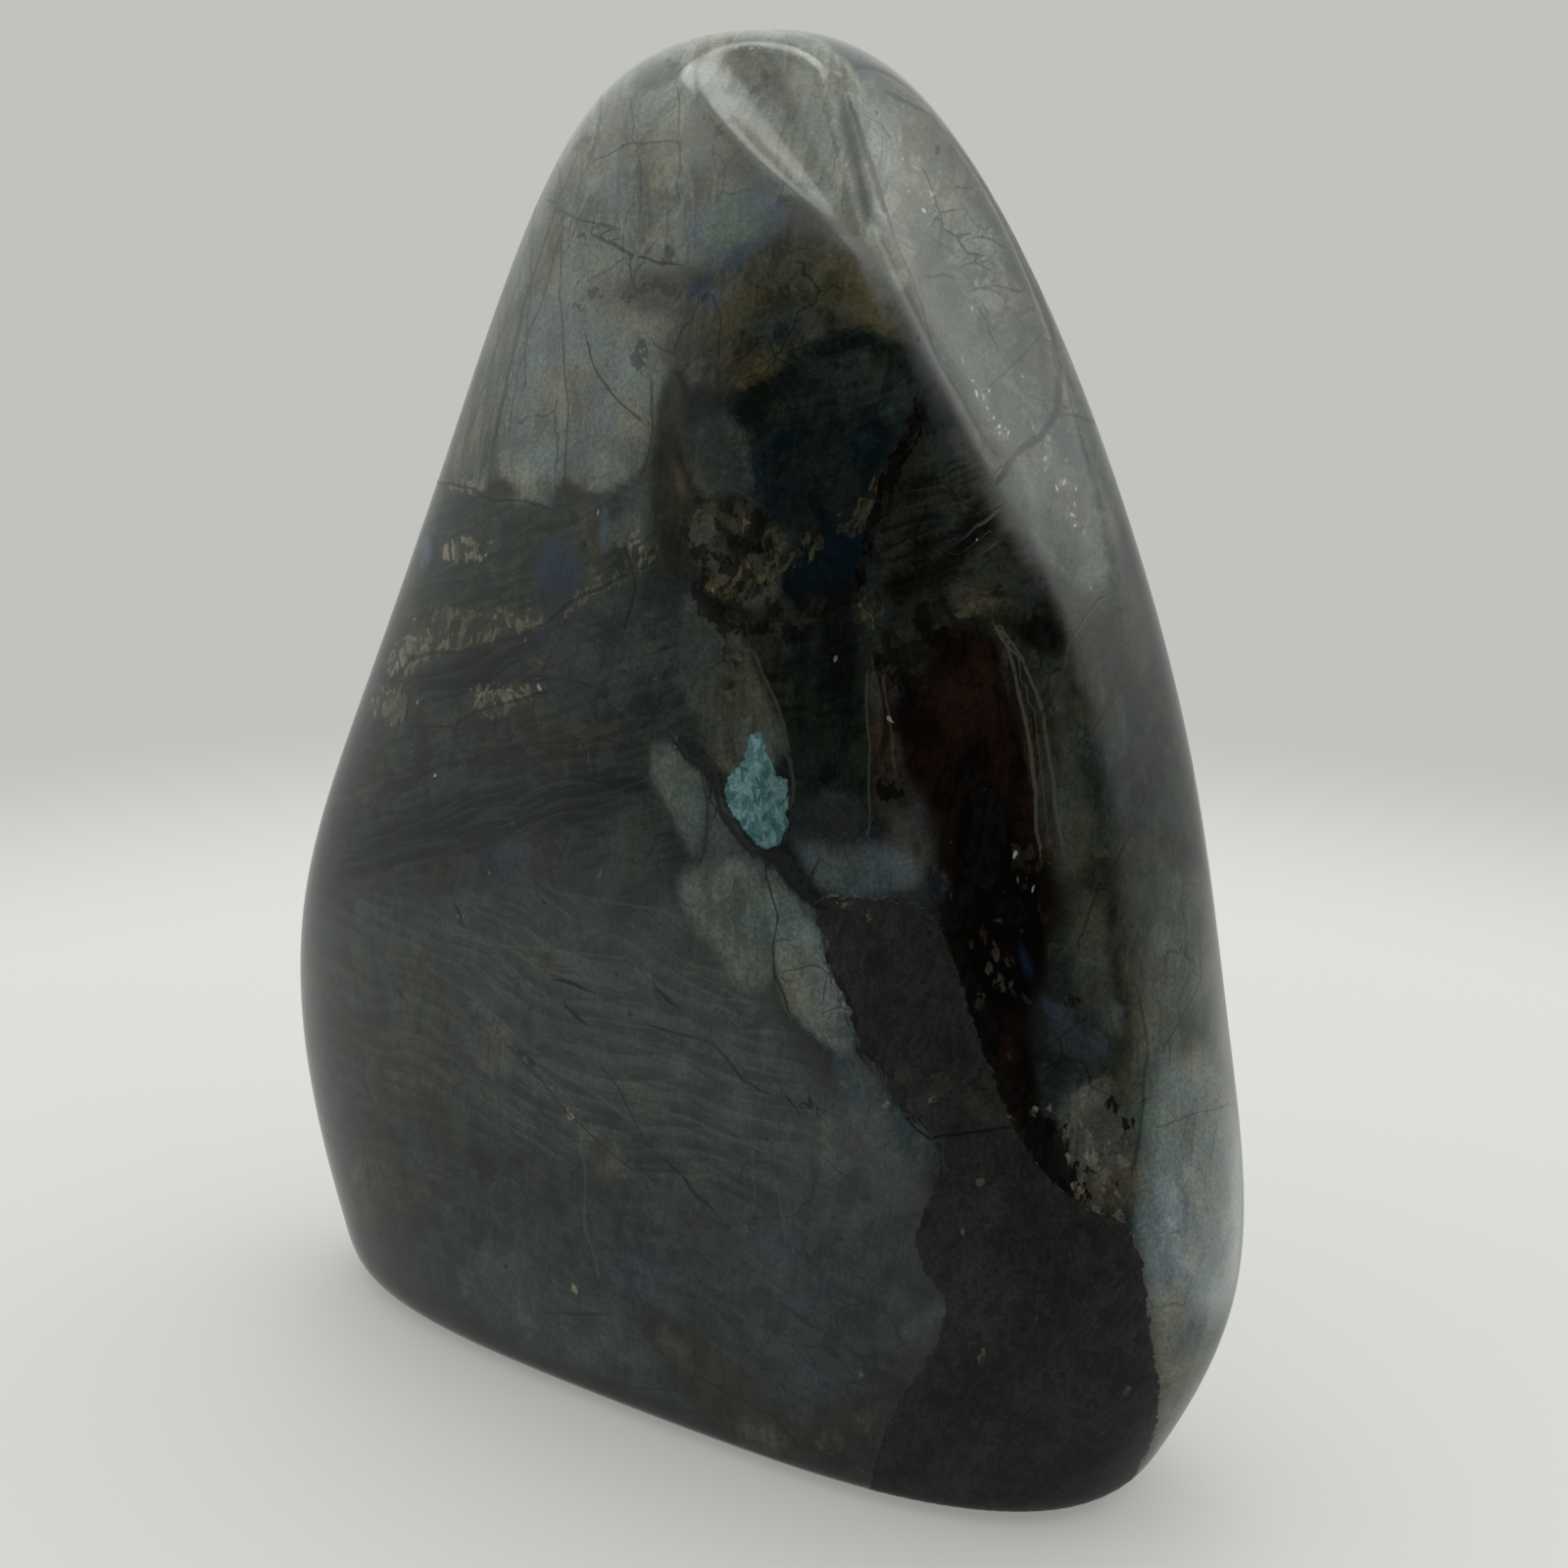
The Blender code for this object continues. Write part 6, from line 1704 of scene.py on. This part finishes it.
def make_room():
    settings = bpy.context.scene.stage_look
    world = bpy.data.worlds.new("soft_room")
    bpy.context.scene.world = world
    world.use_nodes = True
    tree = world.node_tree
    tree.nodes.clear()
    heading = tree.nodes.new("ShaderNodeTexCoord").outputs["Generated"]
    split = tree.nodes.new("ShaderNodeSeparateXYZ")
    link(tree, heading, split.inputs["Vector"])
    level = None
    for (low, dim), (high, bright) in zip(ROOM_HEIGHTS, ROOM_HEIGHTS[1:]):
        bottom, top = float(np.sin(np.radians(low))), float(np.sin(np.radians(high)))
        step = stretch(tree, split.outputs["Z"], bottom, top, 0.0, bright - dim)
        level = calculate(tree, "ADD", step, dim if level is None else level)
    for part in ROOM_PARTS:
        change = calculate(tree, "SUBTRACT", part["level"], level)
        level = weighed(tree, within_part(tree, heading, split.outputs["Z"], part), change, level)
    for lamp in ROOM_LAMPS:
        change = calculate(tree, "SUBTRACT", lamp["level"], level)
        level = weighed(tree, within_lamp(tree, heading, lamp), change, level)
    room_light = tree.nodes.new("ShaderNodeBackground")
    room_light.inputs["Color"].default_value = (*settings.room_tint, 1)
    link(tree, times(tree, level, settings.room_strength), room_light.inputs["Strength"])
    plain = tree.nodes.new("ShaderNodeBackground")
    plain.inputs["Color"].default_value = (*PICTURE_BACKGROUND, 1)
    plain.inputs["Strength"].default_value = 1.0
    choice = tree.nodes.new("ShaderNodeMixShader")
    link(tree, tree.nodes.new("ShaderNodeLightPath").outputs["Is Camera Ray"], choice.inputs["Fac"])
    link(tree, room_light.outputs["Background"], choice.inputs[1])
    link(tree, plain.outputs["Background"], choice.inputs[2])
    output = tree.nodes.new("ShaderNodeOutputWorld")
    link(tree, choice.outputs["Shader"], output.inputs["Surface"])


def floor_material():
    material = bpy.data.materials.new("pale_floor")
    material.use_nodes = True
    tree = material.node_tree
    shader = tree.nodes["Principled BSDF"]
    settings = bpy.context.scene.stage_look
    shader.inputs["Base Color"].default_value = (*settings.floor_colour, 1)
    shader.inputs["Roughness"].default_value = FLOOR_ROUGHNESS
    shader.inputs["Emission Color"].default_value = (*PICTURE_BACKGROUND, 1)
    shader.inputs["Emission Strength"].default_value = settings.floor_glow
    away = combined(tree, "LENGTH", tree.nodes.new("ShaderNodeTexCoord").outputs["Object"])
    link(tree, stretch(tree, away, FLOOR_FADE_FROM, FLOOR_FADE_TO, 1.0, 0.0), shader.inputs["Alpha"])
    return material


def make_floor():
    disc = bmesh.new()
    bmesh.ops.create_circle(disc, cap_ends=True, segments=FLOOR_SIDES, radius=FLOOR_RADIUS)
    mesh = bpy.data.meshes.new("pale_floor")
    disc.to_mesh(mesh)
    disc.free()
    mesh.materials.append(floor_material())
    floor = bpy.data.objects.new("pale_floor", mesh)
    bpy.context.scene.collection.objects.link(floor)
    floor.visible_glossy = False


def make_camera():
    camera = bpy.data.cameras.new("photo_view")
    camera.lens = CAMERA_LENS
    camera.sensor_width = CAMERA_SENSOR
    camera.sensor_fit = "HORIZONTAL"
    camera.clip_start = NEAREST_SHOWN
    right, upright, back = camera_axes(CAMERA_AZIMUTH)
    place = Matrix(np.column_stack([right, upright, back]).tolist()).to_4x4()
    place.translation = Vector(CAMERA_TARGET) + Vector(back) * CAMERA_DISTANCE
    holder = bpy.data.objects.new("photo_view", camera)
    holder.matrix_world = place
    bpy.context.scene.collection.objects.link(holder)
    bpy.context.scene.camera = holder


class StoneLook(bpy.types.PropertyGroup):
    polish_roughness: FloatProperty(name="Polish roughness", description="Roughness of the polished surface",
                                    min=0, max=1, default=0.06)
    matte_roughness: FloatProperty(name="Matte roughness", description="Roughness of the dark mineral",
                                   min=0, max=1, default=0.42)
    refraction: FloatProperty(name="Refraction", description="Index of refraction of feldspar",
                              min=1, max=2, default=1.56)


class StageLook(bpy.types.PropertyGroup):
    floor_colour: FloatVectorProperty(name="Floor colour", description="Colour of the plain floor",
                                      subtype="COLOR", size=3, min=0, max=1, default=(0.325, 0.325, 0.319))
    floor_glow: FloatProperty(name="Floor glow", description="Light that the floor gives, under the shadow",
                              min=0, default=0.485)
    room_tint: FloatVectorProperty(name="Room tint", description="Colour of the soft light from the room",
                                   subtype="COLOR", size=3, min=0, max=1, default=(0.975, 1.0, 0.965))
    room_strength: FloatProperty(name="Room strength", description="Strength of the soft light from the room",
                                 min=0, default=1.0)


class STONE_OT_make_stone(bpy.types.Operator):
    """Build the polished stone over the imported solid"""

    bl_idname = "stone.make_stone"
    bl_label = "Stone"

    def execute(self, context):
        make_stone()
        return {"FINISHED"}


class STONE_OT_make_stage(bpy.types.Operator):
    """Lay the plain floor, light the room and place the camera"""

    bl_idname = "stone.make_stage"
    bl_label = "Stage"

    def execute(self, context):
        context.scene.view_settings.view_transform = "Standard"
        make_floor()
        make_room()
        make_camera()
        return {"FINISHED"}


class STONE_PT_panel(bpy.types.Panel):
    """Sizes and colours of the stone, and the buttons that build it"""

    bl_idname = "STONE_PT_panel"
    bl_label = "Labradorite freeform"
    bl_space_type = "VIEW_3D"
    bl_region_type = "UI"
    bl_category = "Stone"

    def draw(self, context):
        for settings in (context.scene.stone_look, context.scene.stage_look):
            for name in settings.bl_rna.properties.keys():
                if name not in ("rna_type", "name"):
                    self.layout.prop(settings, name)
        self.layout.operator("stone.make_stone")
        self.layout.operator("stone.make_stage")


CLASSES = (StoneLook, StageLook, STONE_OT_make_stone, STONE_OT_make_stage, STONE_PT_panel)


def register():
    for each in CLASSES:
        bpy.utils.register_class(each)
    bpy.types.Scene.stone_look = PointerProperty(type=StoneLook)
    bpy.types.Scene.stage_look = PointerProperty(type=StageLook)


def unregister():
    del bpy.types.Scene.stage_look
    del bpy.types.Scene.stone_look
    for each in reversed(CLASSES):
        bpy.utils.unregister_class(each)


def main():
    register()
    bpy.ops.stone.make_stone()
    bpy.ops.stone.make_stage()


if __name__ == "__main__":
    main()
